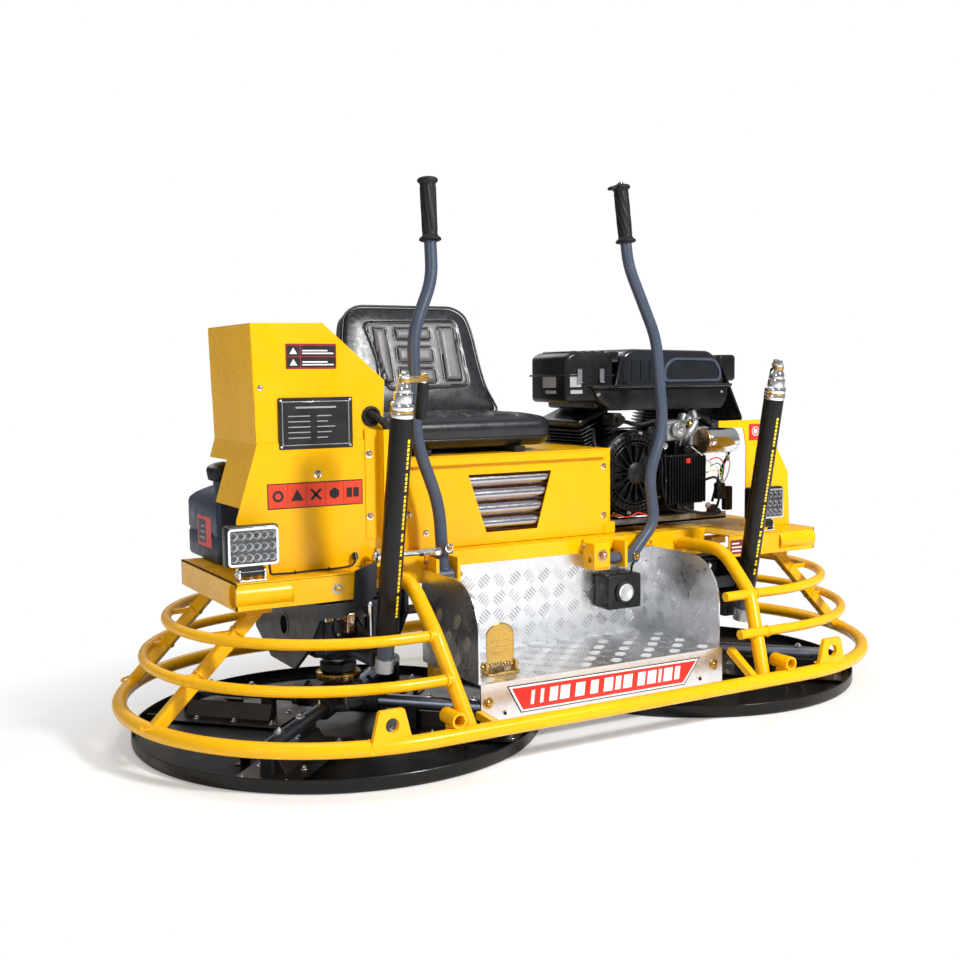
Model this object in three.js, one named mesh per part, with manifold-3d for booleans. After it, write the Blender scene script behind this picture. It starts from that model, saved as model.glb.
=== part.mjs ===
// Ride-on power trowel with two float pans, in millimetres.
// X runs along the machine, the operator faces -Y from the seat, +Z is up.
// The origin lies on the floor, midway between the two rotors.
import * as THREE from "three";
import { mergeVertices } from "three/addons/utils/BufferGeometryUtils.js";
import Module from "manifold-3d";

const wasm = await Module();
wasm.setup();

// ---- driving dimensions ----------------------------------------------------------------------
const GAP = 0.3; // between touching pieces
const ROTOR_X = 515; // rotor axis from the middle of the machine
const PAN_R = 485;
const PAN_LIP = 32;
const TILT_Z = 265; // height of the gearbox tilt axis and of the drive shafts
const RING_Z = 100; // lower guard ring
const RING_R = 508;
const RING_TUBE = 17;
const RAIL_Z = [205, 290]; // middle and upper guard rails
const RAIL_R = [452, 398];
const RAIL_TUBE = 12;
const RAIL_END = { left: 446, right: 352 }; // how far in the guard rails reach
const HOOP_X = { left: 458, right: 438 };
const BEAM = { x: 525, z0: 350, z1: 420, front: -116, rear: 200, depth: 54 };
const TRAY = { x0: 525.3, x1: 835, y0: -215, y1: 190, z0: 350, z1: 410 };
const WELL = { x: 345, kick: -397, wall: -116.3, floor: 165, top: 385, low: 75, sheet: 4 };
const BOX = { x0: -398, x1: 248, y0: -60, y1: 330, z0: 420.3, z1: 647 };
const LEVER = { y: -150, z: 370, lean: 5, r: 15 };
const SEAT = { x: -155, w: 490, y0: -50, y1: 290, z: 662.3 };
const SHAFT_R = 12;
const HANGER_LOW = 112; // clear of the turning arms
const TRUNNION = { outer: 30, inner: 22 };

// ---- materials -------------------------------------------------------------------------------
const material = (color, roughness, metalness) =>
  new THREE.MeshStandardMaterial({ color, roughness, metalness });
const YELLOW = [0xffd000, 0.4, 0.1];
const BLACK = [0x121316, 0.5, 0.1];
const SLATE = [0x3d4656, 0.45, 0.4];
const STEEL = [0xb4b8bc, 0.35, 0.9];
const CHROME = [0xd8dadc, 0.15, 1];
const GOLD = [0xc79a3f, 0.3, 0.9];
const CASTING = [0x2c2f33, 0.6, 0.6];

// ---- solids ----------------------------------------------------------------------------------
// A closed geometry as a solid: shared corners merged, empty triangles dropped, faces turned outward.
function solid(geometry) {
  const bare = geometry.index ? geometry.toNonIndexed() : geometry.clone();
  bare.deleteAttribute("normal");
  bare.deleteAttribute("uv");
  const merged = mergeVertices(bare, 1e-4);
  const positions = merged.attributes.position;
  const corner = (i) => new THREE.Vector3().fromBufferAttribute(positions, i);
  const triangles = [];
  let volume = 0;
  for (let i = 0; i < merged.index.count; i += 3) {
    const [a, b, c] = merged.index.array.slice(i, i + 3);
    if (a === b || b === c || c === a) continue;
    triangles.push([a, b, c]);
    volume += corner(a).dot(corner(b).cross(corner(c)));
  }
  if (volume < 0) triangles.forEach((t) => t.reverse());
  const mesh = new wasm.Mesh({
    numProp: 3,
    vertProperties: new Float32Array(positions.array),
    triVerts: new Uint32Array(triangles.flat()),
  });
  return new wasm.Manifold(mesh);
}

function geometryOf(body) {
  const mesh = body.getMesh();
  const g = new THREE.BufferGeometry();
  g.setAttribute("position", new THREE.BufferAttribute(new Float32Array(mesh.vertProperties), 3));
  g.setIndex(new THREE.BufferAttribute(new Uint32Array(mesh.triVerts), 1));
  return g;
}

// The body tipped about X, then turned about Z, in degrees, and moved.
function placed(body, { tip = 0, turn = 0, at = [0, 0, 0] }) {
  const g = geometryOf(body);
  g.rotateX(THREE.MathUtils.degToRad(tip));
  g.rotateZ(THREE.MathUtils.degToRad(turn));
  g.translate(...at);
  return solid(g);
}

const union = (...parts) => parts.flat().reduce((a, b) => a.add(b));
const cut = (body, ...tools) => tools.flat().reduce((a, b) => a.subtract(b), body);

function box(x0, x1, y0, y1, z0, z1) {
  const g = new THREE.BoxGeometry(x1 - x0, y1 - y0, z1 - z0);
  g.translate((x0 + x1) / 2, (y0 + y1) / 2, (z0 + z1) / 2);
  return solid(g);
}

// A round bar from a to b; points are [x, y, z].
function rod(a, b, r, sides = 12) {
  const from = new THREE.Vector3(...a);
  const to = new THREE.Vector3(...b);
  const along = to.clone().sub(from);
  const g = new THREE.CylinderGeometry(r, r, along.length(), sides);
  const up = new THREE.Vector3(0, 1, 0);
  g.applyQuaternion(new THREE.Quaternion().setFromUnitVectors(up, along.normalize()));
  g.translate(...from.add(to).multiplyScalar(0.5).toArray());
  return solid(g);
}

// A square bar of side w from a to b.
function bar(a, b, w) {
  const from = new THREE.Vector3(...a);
  const to = new THREE.Vector3(...b);
  const g = new THREE.BoxGeometry(w, w, from.distanceTo(to));
  const frame = new THREE.Matrix4().lookAt(to, from, new THREE.Vector3(0, 1, 0));
  g.applyMatrix4(frame);
  g.translate(...from.add(to).multiplyScalar(0.5).toArray());
  return solid(g);
}

// A plate whose outline is given in the X-Z plane, from y0 to y1.
function plateXZ(outline, y0, y1) {
  const shape = new THREE.Shape(outline.map(([x, z]) => new THREE.Vector2(x, z)));
  const g = new THREE.ExtrudeGeometry(shape, { depth: y1 - y0, bevelEnabled: false });
  g.rotateX(Math.PI / 2);
  g.translate(0, y1, 0);
  return solid(g);
}

// A plate whose outline is given in the Y-Z plane, from x0 to x1.
function plateYZ(outline, x0, x1) {
  const shape = new THREE.Shape(outline.map(([y, z]) => new THREE.Vector2(y, z)));
  const g = new THREE.ExtrudeGeometry(shape, { depth: x1 - x0, bevelEnabled: false });
  g.rotateX(Math.PI / 2);
  g.rotateZ(Math.PI / 2);
  g.translate(x0, 0, 0);
  return solid(g);
}

// A body turned about Z from [radius, height] points.
function turned(profile, sides = 16) {
  const points = profile.map(([r, z]) => new THREE.Vector2(r, z));
  const g = new THREE.LatheGeometry(points, sides);
  g.rotateX(Math.PI / 2);
  return solid(g);
}

// A bent tube: straight runs joined by rounded corners. Each point is [x, y, z, bend radius].
function bentPath(points) {
  const path = new THREE.CurvePath();
  const v = points.map((p) => new THREE.Vector3(p[0], p[1], p[2]));
  let last = v[0];
  for (let i = 1; i < v.length - 1; i += 1) {
    const back = v[i - 1].clone().sub(v[i]).normalize();
    const on = v[i + 1].clone().sub(v[i]).normalize();
    const bend = points[i][3] ?? 40;
    const start = v[i].clone().addScaledVector(back, bend);
    const end = v[i].clone().addScaledVector(on, bend);
    path.add(new THREE.LineCurve3(last, start));
    path.add(new THREE.QuadraticBezierCurve3(start, v[i], end));
    last = end;
  }
  path.add(new THREE.LineCurve3(last, v[v.length - 1]));
  return path;
}

function circleShape(r, sides) {
  const shape = new THREE.Shape();
  for (let i = 0; i < sides; i += 1) {
    const a = (2 * Math.PI * (i + 0.5)) / sides;
    if (i === 0) shape.moveTo(r * Math.cos(a), r * Math.sin(a));
    else shape.lineTo(r * Math.cos(a), r * Math.sin(a));
  }
  shape.closePath();
  return shape;
}

function tube(path, r, steps, sides = 8) {
  const options = { steps, extrudePath: path, bevelEnabled: false };
  return solid(new THREE.ExtrudeGeometry(circleShape(r, sides), options));
}

// Half of a guard rail in plan: straight, round the end of the machine, and straight again.
function railPath(side, r, z, innerX, rearX) {
  const points = [];
  points.push(new THREE.Vector3(side * innerX, -r, z));
  const steps = 14;
  for (let i = 0; i <= steps; i += 1) {
    const a = -Math.PI / 2 + (Math.PI * i) / steps;
    points.push(new THREE.Vector3(side * (ROTOR_X + r * Math.cos(a)), r * Math.sin(a), z));
  }
  points.push(new THREE.Vector3(side * rearX, r, z));
  const path = new THREE.CurvePath();
  for (let i = 1; i < points.length; i += 1) {
    path.add(new THREE.LineCurve3(points[i - 1], points[i]));
  }
  // sampled at the path's own corners
  path.getPointAt = (t) => {
    const at = t * (points.length - 1);
    const i = Math.min(Math.floor(at + 1e-9), points.length - 2);
    return points[i].clone().lerp(points[i + 1], at - i);
  };
  return { path, steps: points.length - 1 };
}

function rail(side, r, z, innerX, tubeR, sides, rearX = innerX) {
  const { path, steps } = railPath(side, r, z, innerX, rearX);
  return tube(path, tubeR, steps, sides);
}

// ---- the model -------------------------------------------------------------------------------
const model = new THREE.Group();

function add(name, body, look, place) {
  const g = geometryOf(body);
  g.computeVertexNormals();
  const node = new THREE.Mesh(g, material(...look));
  node.name = name;
  (place ?? model).add(node);
}

const sides = [
  ["left", -1],
  ["right", 1],
];

// The bounds of a box mirrored onto one side of the machine.
const sideBox = (s, x0, x1, ...rest) =>
  s > 0 ? box(x0, x1, ...rest) : box(-x1, -x0, ...rest);

// ---- frame -----------------------------------------------------------------------------------
function mainFrame() {
  const front = box(-BEAM.x, BEAM.x, BEAM.front, BEAM.front + BEAM.depth, BEAM.z0, BEAM.z1);
  const rear = box(-BEAM.x, BEAM.x, BEAM.rear - BEAM.depth, BEAM.rear, BEAM.z0, BEAM.z1);
  const ties = [-470, -60, 100, 470].map((x) =>
    box(x - 20, x + 20, BEAM.front + 10, BEAM.rear - 10, BEAM.z0, BEAM.z0 + 40)
  );
  const steps = [-300, 300].map((x) =>
    box(x - 15, x + 15, BEAM.front + 4, BEAM.front + 34, HANGER_LOW, BEAM.z0 + 5)
  );
  const linkLug = box(-502, -470, LEVER.y - 36, BEAM.front + 4, 412, 420);
  const linkPin = rod([-486, LEVER.y - 22, 414], [-486, LEVER.y - 22, 446], 5);
  return union(front, rear, ties, steps, linkLug, linkPin);
}

function sideTray(s) {
  const t = TRAY;
  const sheet = 4;
  const outer = sideBox(s, t.x0, t.x1, t.y0, t.y1, t.z0, t.z1);
  const inner = sideBox(s, t.x0 - 5, t.x1 - sheet, t.y0 + sheet, t.y1 - sheet, t.z0 - 1, t.z1 - sheet);
  const socket = rod([s * 708, t.y0 + 22, 380], [s * (t.x1 - 2), t.y0 + 22, 380], 29.5, 16);
  const bore = rod([s * 700, t.y0 + 22, 380], [s * (t.x1 + 10), t.y0 + 22, 380], 24, 16);
  return cut(union(cut(outer, inner), socket), bore);
}

function gearboxHanger(s) {
  const z1 = BEAM.z0 - GAP;
  const top = sideBox(s, 380, 650, BEAM.front, BEAM.rear, z1 - 8, z1);
  const outline = [
    [-60, TILT_Z - 55],
    [60, TILT_Z - 55],
    [BEAM.rear - 30, z1 - 4],
    [BEAM.front, z1 - 4],
    [BEAM.front, TILT_Z + 20],
  ];
  const outerOutline = [
    [-60, TILT_Z - 95],
    [95, TILT_Z - 95],
    [BEAM.rear, TILT_Z - 40],
    [BEAM.rear, z1 - 4],
    [s < 0 ? -222 : -154, z1 - 4],
    [s < 0 ? -222 : -154, s < 0 ? 312 : 290],
    [-154, TILT_Z - 30],
  ];
  const corner = [[-509, 432], [-562, 414], [-567, z1 - 4], [-648, z1 - 4], [-648, 316], [-600, 312],
    [-548, 328], [-512, 356]];
  const cornerPlate = s < 0 ? [plateXZ(corner, -222, -216)] : [];
  const cheeks = [
    [380, 390, outline],
    [640, 650, outerOutline],
  ].map(([a, b, edge]) => (s > 0 ? plateYZ(edge, a, b) : plateYZ(edge, -b, -a)));
  const bore = rod([s * 370, 0, TILT_Z], [s * 660, 0, TILT_Z], TRUNNION.outer + 0.5);
  const window = sideBox(s, 430, 600, -70, 110, z1 - 20, z1 + 10);
  return cut(union(top, cheeks, cornerPlate), bore, window);
}

// A stay between the lower ring and the end of the kick plate.
const kickStay = (s, w) =>
  bar([s * 358, -RING_R, RING_Z], [s * 358, WELL.kick - 14, s < 0 ? 104 : 160], w);

function lowerRing() {
  const r = RING_R;
  const half = sides.map(([, s]) => rail(s, r, RING_Z, 0, RING_TUBE, 8));
  const stubs = sides.map(([, s]) => {
    const sleeve = turned([[12, 0], [17, 0], [17, 60], [12, 60], [12, 0]], 12);
    return placed(sleeve, { tip: 90, at: [s * 463, 53 - r, 132] });
  });
  const tabs = sides.map(([, s]) => {
    const x = s * 612;
    const outline = [[x - 50, 90], [x + 50, 90], [x + 27, 176], [x - 27, 176]];
    const eye = rod([x, -r - 10, 144], [x, 60 - r, 144], 15);
    return cut(plateXZ(outline, 3 - r, 15 - r), eye);
  });
  return union(half, stubs, tabs, sides.map(([, s]) => kickStay(s, 18)));
}

// Each strut runs from under the tray to the lower ring: [x, y] at its top and at its foot.
const STRUTS = [
  { top: [765, -140], foot: [997, -145] },
  { top: [780, 137], foot: [935, 289] },
];

function guardCage(name, s) {
  const rails = RAIL_Z.map((z, i) =>
    rail(s, RAIL_R[i], z, RAIL_END[name], RAIL_TUBE, 6, HOOP_X[name] - 12)
  );
  const x = s * HOOP_X[name];
  const hoops = [-1, 1].map((f) => {
    const root = f < 0 ? BEAM.front - GAP : BEAM.rear + GAP;
    const points = [[x, root, 388], [x, f * 290, 388, 45], [x - s * 3, f * 396, 290, 30],
      [x - s * 37, f * 484, RING_Z]];
    return tube(bentPath(points), RING_TUBE, 9, 8);
  });
  const topZ = TRAY.z0 - GAP - 14;
  const struts = STRUTS.map(({ top, foot }) =>
    bar([s * top[0], top[1], topZ], [s * foot[0], foot[1], RING_Z], 28)
  );
  const feet = STRUTS.map(({ top }) =>
    sideBox(s, top[0] - 30, top[0] + 25, top[1] - 20, top[1] + 20, TRAY.z0 - GAP - 20, TRAY.z0 - GAP)
  );
  const lugs = STRUTS.map(({ top, foot }) =>
    RAIL_Z.map((z, i) => {
      const t = (topZ - z) / (topZ - RING_Z);
      const [lugX, lugY] = [0, 1].map((k) => top[k] + t * (foot[k] - top[k]));
      const reach = ROTOR_X + Math.sqrt(RAIL_R[i] ** 2 - lugY ** 2) - 2;
      return bar([s * lugX, lugY, z], [s * reach, lugY, z], 12);
    })
  );
  const clearRing = rail(s, RING_R, RING_Z, 0, RING_TUBE + 2 * GAP, 8);
  return cut(union(rails, hoops, struts, feet, lugs.flat()), clearRing, kickStay(s, 18.8));
}

function footWell() {
  const w = WELL;
  const t = w.sheet;
  const kick = box(-w.x, w.x, w.kick, w.kick + t, w.low, w.floor);
  const floor = box(-w.x, w.x, w.kick, w.wall, w.floor - t, w.floor);
  const wall = box(-w.x, w.x, w.wall - t, w.wall - GAP, w.floor - t, w.top);
  const reach = w.kick + 10;
  const crown = 110;
  const outline = [[w.wall - GAP, w.floor - t], [w.wall - GAP, w.top], [reach + crown, w.top]];
  for (let i = 1; i <= 6; i += 1) {
    const a = (Math.PI / 2) * (i / 6);
    outline.push([reach + crown - crown * Math.sin(a), w.top - crown + crown * Math.cos(a)]);
  }
  outline.push([reach, w.floor - t]);
  const cheeks = [plateYZ(outline, -w.x, -w.x + t), plateYZ(outline, w.x - t, w.x)];
  return union(kick, floor, wall, cheeks);
}

function seatBox() {
  const b = BOX;
  const t = 4;
  const shell = cut(
    box(b.x0, b.x1, b.y0, b.y1, b.z0, b.z1),
    box(b.x0 + t, b.x1 - t, b.y0 + t, b.y1 - t, b.z0 - 1, b.z1 - t)
  );
  const lip = box(b.x0, b.x1 - 20, b.y0 - 14, b.y0 + 2, b.z1 - 22, b.z1);
  const window = plateXZ(
    [[-132, 450], [18, 450], [62, 597], [-182, 597]],
    b.y0 - 5,
    b.y0 + t + 1
  );
  return cut(union(shell, lip), window);
}

function windowBars() {
  const levels = [0, 1, 2, 3].map((i) => 469 + 37 * i);
  const pipes = levels.map((z) => rod([-200, -36, z], [85, -36, z], 17, 14));
  const ends = [-204, 81].map((x) => box(x, x + 8, -46, -26, 440, 600));
  return union(pipes, ends);
}

function leftCabinet() {
  const upper = [[-760, 961], [-593, 963], [-443, 834], [-450, 690], [-752, 690]];
  const lower = [[-752, 700], [-450, 700], [-450, 410.3], [-625, 410.3], [-625, 655], [-765, 655]];
  const flap = [[-748, 700], [-752, 700], [-794, 560], [-790, 560]];
  const wing = [[-752, 700], [-450, 700], [-450, 410.3], [-808, 410.3], [-803, 535]];
  const body = union(plateXZ(upper, -135, 165), plateXZ(lower, -135, 165));
  const upperIn = [[-757, 957], [-594.5, 959], [-446.5, 832], [-454, 704], [-748, 704]];
  const lowerIn = [[-748, 705], [-454, 705], [-454, 400], [-621, 400], [-621, 659], [-760, 659]];
  const hollow = union(plateXZ(upperIn, -132, 162), plateXZ(lowerIn, -132, 162));
  const post = cut(box(-452, -402, -138, -100, 420.5, 682), box(-446, -396, -134, -90, 410, 690));
  const beams = box(-BEAM.x - GAP, 0, BEAM.front - GAP, BEAM.rear + GAP, BEAM.z0, BEAM.z1 + GAP);
  const linkLug = box(-503, -469, -140, -110, 405, 421);
  const sheets = union(plateXZ(wing, -138, -134.5), plateXZ(flap, -135, 36));
  return cut(union(cut(body, hollow), sheets, post), beams, linkLug);
}

function rightPanel() {
  const outer = [[655, 410.3], [820, 410.3], [812, 560], [722, 712], [556, 712], [556, 694], [645, 690],
    [655, 640]];
  const stay = box(700, 718, -134, -60, 410.3, 414);
  return union(plateXZ(outer, -135, -131), stay);
}

add("main_frame", mainFrame(), YELLOW);
for (const [name, s] of sides) {
  add(`${name}_tray`, sideTray(s), YELLOW);
  add(`${name}_guard_cage`, guardCage(name, s), YELLOW);
  add(`${name}_gearbox_hanger`, gearboxHanger(s), SLATE);
}
add("guard_lower_ring", lowerRing(), YELLOW);
add("foot_well", footWell(), STEEL);
add("seat_box", seatBox(), YELLOW);
add("seat_box_window_pipes", windowBars(), CHROME);
add("left_cabinet", leftCabinet(), YELLOW);
add("right_guard_panel", rightPanel(), YELLOW);

// ---- fuel can --------------------------------------------------------------------------------
const CAN = { x0: -790, x1: -640, y0: 40, y1: 283, z0: 410.3, z1: 556 };
function fuelCan() {
  const shoulder = [
    [CAN.y0, CAN.z0],
    [CAN.y1, CAN.z0],
    [CAN.y1, CAN.z1],
    [CAN.y1 - 30, CAN.z1 + 18],
    [CAN.y0 + 130, CAN.z1 + 34],
    [CAN.y0 + 60, CAN.z1 + 34],
    [CAN.y0, CAN.z1],
  ];
  const neck = rod([-745, 130, CAN.z1 + 20], [-752, 124, CAN.z1 + 52], 21);
  return union(plateYZ(shoulder, CAN.x0, CAN.x1), neck);
}
add("fuel_can", fuelCan(), SLATE);
const capPlace = new THREE.Group();
capPlace.position.set(-752, 124, CAN.z1 + 52);
capPlace.rotation.set(0.18, -0.21, 0);
model.add(capPlace);
add("fuel_can_cap", turned([[0, 0.6], [31, 0.6], [31, 26], [26, 31], [0, 31]], 16), BLACK, capPlace);

// ---- work lights -----------------------------------------------------------------------------
const LIGHTS = { left: -791, right: 668 };
const LIGHT = { y: -190, z: 427, w: 118, h: 88 };
for (const [name] of sides) {
  const x = LIGHTS[name];
  const base = box(x - 30, x + 30, LIGHT.y - 16, LIGHT.y + 16, TRAY.z1 + GAP, TRAY.z1 + 4);
  const ears = [-30, 26].map((d) =>
    box(x + d, x + d + 4, LIGHT.y - 11, LIGHT.y + 11, TRAY.z1 + 2, LIGHT.z + 9)
  );
  const hole = rod([x - 40, LIGHT.y, LIGHT.z], [x + 40, LIGHT.y, LIGHT.z], 4.5, 12);
  add(`${name}_light_bracket`, cut(union(base, ears), hole), CHROME);
  const lowest = LIGHT.z + 16;
  const body = box(x - LIGHT.w / 2, x + LIGHT.w / 2, LIGHT.y - 20, LIGHT.y + 20, lowest, lowest + LIGHT.h);
  const lug = box(x - 25, x + 25, LIGHT.y - 7, LIGHT.y + 7, LIGHT.z - 7, lowest + 2);
  const pin = rod([x - 33, LIGHT.y, LIGHT.z], [x + 33, LIGHT.y, LIGHT.z], 4, 12);
  const crown = lowest + LIGHT.h;
  const visor = box(x - LIGHT.w / 2, x + LIGHT.w / 2, LIGHT.y - 32, LIGHT.y, crown - 4, crown);
  add(`${name}_work_light`, union(body, lug, pin, visor), BLACK);
}
const LEAD_R = 2.5;
const leadRoute = [
  [-735, -160, 414],
  [-715, -160, 413.5],
  [-640, -160, 414],
  [-590, -160, 414],
  [-545, -158, 416],
  [-530, -150, 428],
];
const leadCurve = new THREE.CatmullRomCurve3(leadRoute.map((p) => new THREE.Vector3(...p)));
add("light_lead", tube(leadCurve, LEAD_R, 12, 8), BLACK);

// ---- foot well fittings ----------------------------------------------------------------------
function footLamp() {
  const y1 = WELL.wall - WELL.sheet - GAP;
  const lens = rod([206, -190, 284], [206, -160, 284], 26);
  return union(box(152, 262, -182, y1, 238, 332), lens);
}
add("foot_lamp", footLamp(), BLACK);
const PEDAL = { x: -250, y: -318, z: 182 };
function pedalBase() {
  const { x, y, z } = PEDAL;
  const plate = box(x - 42, x + 42, y - 22, y + 48, WELL.floor + GAP, WELL.floor + 5);
  const ears = [-42, 36].map((d) =>
    box(x + d, x + d + 6, y - 10, y + 12, WELL.floor + 2, z + 9)
  );
  const hole = rod([x - 60, y, z], [x + 60, y, z], 5.4, 12);
  return cut(union(plate, ears), hole);
}
function pedal() {
  const { x, y, z } = PEDAL;
  const pin = rod([x - 44, y, z], [x + 44, y, z], 5, 12);
  const outline = [[x - 35, z - 3], [x + 35, z - 3]];
  for (let i = 0; i <= 8; i += 1) {
    const a = (Math.PI * i) / 8;
    outline.push([x + 35 * Math.cos(a), z + 68 + 28 * Math.sin(a)]);
  }
  const pad = plateXZ(outline, y - 3, y + 3);
  return union(pin, pad);
}
add("pedal_base", pedalBase(), GOLD);
add("foot_pedal", pedal(), GOLD);

// ---- control levers --------------------------------------------------------------------------
// Each lever is drawn upright over its pivot line, then leans back about it.
const leverPlace = new THREE.Group();
leverPlace.position.set(0, LEVER.y, LEVER.z);
leverPlace.rotation.x = -THREE.MathUtils.degToRad(LEVER.lean);
model.add(leverPlace);

function leverBracket(s, x0, x1, firstEar, backEnd) {
  const back = sideBox(s, x0, backEnd, BEAM.front - 8, BEAM.front - GAP, BEAM.z0 + 40, BEAM.z1);
  const ears = [[x0, x0 + firstEar], [x1 - 8, x1]].map(([a, b]) =>
    sideBox(s, a, b, -174, BEAM.front - 4, 346, BEAM.z1 - 6)
  );
  const hole = rod([s * (x0 - 5), LEVER.y, LEVER.z], [s * (x1 + 5), LEVER.y, LEVER.z], 8.5);
  const wellTop = box(-WELL.x - 1, WELL.x + 1, WELL.wall - WELL.sheet - GAP, 0, 300, WELL.top + GAP);
  return cut(union(back, ears), hole, wellTop);
}
add("left_lever_bracket", leverBracket(-1, 270, 335, 8, 335), YELLOW);
add("right_lever_bracket", leverBracket(1, 118, 220, 46, 345), YELLOW);

const TOP = { left: 935, right: 956 }; // lever tops above their pivot line
const FORK_X = 250; // pin of the right lever in its yoke
function leverTube(points, steps) {
  return tube(bentPath(points), LEVER.r, steps, 8);
}
function leftLever() {
  const stem = leverTube(
    [
      [-290, 0, TOP.left],
      [-292, 0, 705, 40],
      [-350, 0, 575, 45],
      [-357, 0, 320, 55],
      [-306, 0, 170, 50],
      [-303, 0, 0],
    ],
    26
  );
  const hub = rod([-324, 0, 0], [-282, 0, 0], 17);
  const pin = rod([-339, 0, 0], [-262, 0, 0], 8);
  const lug = box(-316, -290, -30, -8, 52, 76);
  return union(stem, hub, pin, lug);
}
function rightLever() {
  const stem = leverTube(
    [
      [277, 0, TOP.right],
      [288, 0, 758, 40],
      [368, 0, 566, 45],
      [376, 0, 330, 50],
      [320, 0, 205, 45],
      [332, 0, 84, 36],
      [FORK_X, 0, 0],
    ],
    26
  );
  const x = FORK_X;
  const eye = rod([x, -11, 0], [x, 11, 0], 17);
  const pin = rod([x, -24, 0], [x, 24, 0], 7);
  const bare = cut(stem, box(x - 22, x + 40, 10.5, 60, -40, 22), box(x - 22, x + 40, -60, -10.5, -40, 22));
  return union(bare, eye, pin);
}
function yoke() {
  const x = FORK_X;
  const cross = rod([x - 85, 0, 0], [x - 40, 0, 0], 14);
  const pin = rod([x - 122, 0, 0], [x - 22, 0, 0], 8);
  const cheeks = [[-19, -11.5], [11.5, 19]].map(([a, b]) =>
    union(box(x - 27, x, a, b, -15, 15), rod([x, a, 0], [x, b, 0], 15))
  );
  const web = box(x - 28, x - 20, -19, 19, -14, 14);
  const bore = rod([x, -30, 0], [x, 30, 0], 7.4);
  const swing = rod([x, -11.5, 0], [x, 11.5, 0], 18.5);
  return cut(union(cross, pin, cheeks, web), bore, swing);
}
add("left_lever", leftLever(), SLATE, leverPlace);
add("right_lever", rightLever(), SLATE, leverPlace);
add("right_lever_yoke", yoke(), SLATE, leverPlace);

const GRIP = [[16.2, 0], [24, 0], [27, 4], [20, 11], [18.5, 20], [18, 110], [20, 138], [25, 142],
  [24, 147], [14, 151], [0, 152], [0, 141], [16.2, 141], [16.2, 0]];
const gripSpots = { left: [-291.2, TOP.left - 140.5, 0.5], right: [284.8, TOP.right - 140.5, -3.2] };
for (const [name] of sides) {
  const [x, z, lean] = gripSpots[name];
  const place = new THREE.Group();
  place.position.set(x, 0, z);
  place.rotation.y = THREE.MathUtils.degToRad(lean);
  leverPlace.add(place);
  const grip = turned(GRIP, 12);
  if (name === "left") {
    add("left_grip", grip, BLACK, place);
  } else {
    const well = rod([0, 0, 143], [0, 0, 160], 7.4);
    add("right_grip", cut(grip, well), BLACK, place);
    add("grip_button", turned([[0, 147.5], [7, 147.5], [7, 156], [5.5, 158], [0, 158]], 12), CHROME, place);
  }
}

// Link between the left lever and its frame plate, lying along X.
function linkRod() {
  const a = [-486, LEVER.y - 22, 434];
  const b = [-334, LEVER.y - 22, 434];
  const eyes = [a, b].map(([x, y, z]) => rod([x, y, z - 9], [x, y, z + 9], 12));
  const bore = rod([a[0], a[1], a[2] - 20], [a[0], a[1], a[2] + 20], 5.5);
  return cut(union(rod(a, b, 7), eyes), bore);
}
add("left_link_rod", linkRod(), CHROME);

// ---- seat ------------------------------------------------------------------------------------
function seatRails() {
  const top = SEAT.z - GAP;
  const rails = [-135, 135].map((d) =>
    box(SEAT.x + d - 16, SEAT.x + d + 16, -40, 280, BOX.z1 + GAP, top)
  );
  const tie = box(SEAT.x - 140, SEAT.x + 140, 110, 130, BOX.z1 + GAP, BOX.z1 + 6);
  return union(rails, tie);
}
function cushion() {
  const outline = [[SEAT.y0, SEAT.z + 14], [SEAT.y0 + 22, SEAT.z], [SEAT.y1, SEAT.z],
    [SEAT.y1, SEAT.z + 66], [SEAT.y0 + 60, SEAT.z + 80], [SEAT.y0 + 12, SEAT.z + 66]];
  return plateYZ(outline, SEAT.x - SEAT.w / 2, SEAT.x + SEAT.w / 2);
}
function backrest() {
  const half = [[200, 0], [222, 24], [214, 90], [200, 229], [186, 280], [146, 302]];
  const outline = [...half, ...half.map(([x, z]) => [-x, z]).reverse()];
  const slab = placed(plateXZ(outline, -12, 50), { tip: -16, at: [SEAT.x, 262, 735] });
  return cut(slab, box(-440, 140, 200, SEAT.y1 + GAP, 600, SEAT.z + 66 + GAP));
}
add("seat_rails", seatRails(), CASTING);
add("seat_cushion", cushion(), BLACK);
add("seat_backrest", backrest(), BLACK);

// ---- engine ----------------------------------------------------------------------------------
const CRANK = { x: 375, z: 570 };
function engineBlock() {
  const feet = [300, 560].map((x) => box(x, x + 50, 40, 330, BEAM.z1 + GAP, 450));
  const crankcase = box(290, 640, 62, 320, 440, 600);
  const bank = [[290, 590], [640, 590], [700, 690], [690, 744], [262, 744], [262, 690]];
  const heads = plateXZ(bank, 70, 310);
  return union(feet, crankcase, heads);
}
function fanHousing() {
  const drum = rod([CRANK.x, 0, CRANK.z], [CRANK.x, 61.7, CRANK.z], 118, 32);
  const screen = rod([CRANK.x, -12, CRANK.z], [CRANK.x, 2, CRANK.z], 78, 28);
  return union(drum, screen);
}
function topCover() {
  const outline = [[330, 744.3], [690, 744.3], [712, 800], [700, 874], [662, 906], [376, 911], [345, 894],
    [322, 800]];
  return plateXZ(outline, 22, 330);
}
function airCleaner() {
  const outline = [[160, 766], [320, 766], [320, 893], [304, 905], [178, 905], [160, 891]];
  const elbow = box(268, 320, 40, 280, 744.3, 880);
  return union(plateXZ(outline, 20, 195), elbow);
}
function heatShield() {
  const outline = [[716, 866], [728, 868], [806, 712], [798, 706], [716, 858]];
  const flange = box(713, 724, 80, 300, 835, 868);
  return union(plateXZ(outline, 50, 330), flange);
}
function oilFilter() {
  const can = rod([600, -20, 651], [712, -20, 651], 35);
  const neck = rod([622, -20, 651], [622, 69.7, 651], 20);
  return union(can, neck);
}
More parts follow.
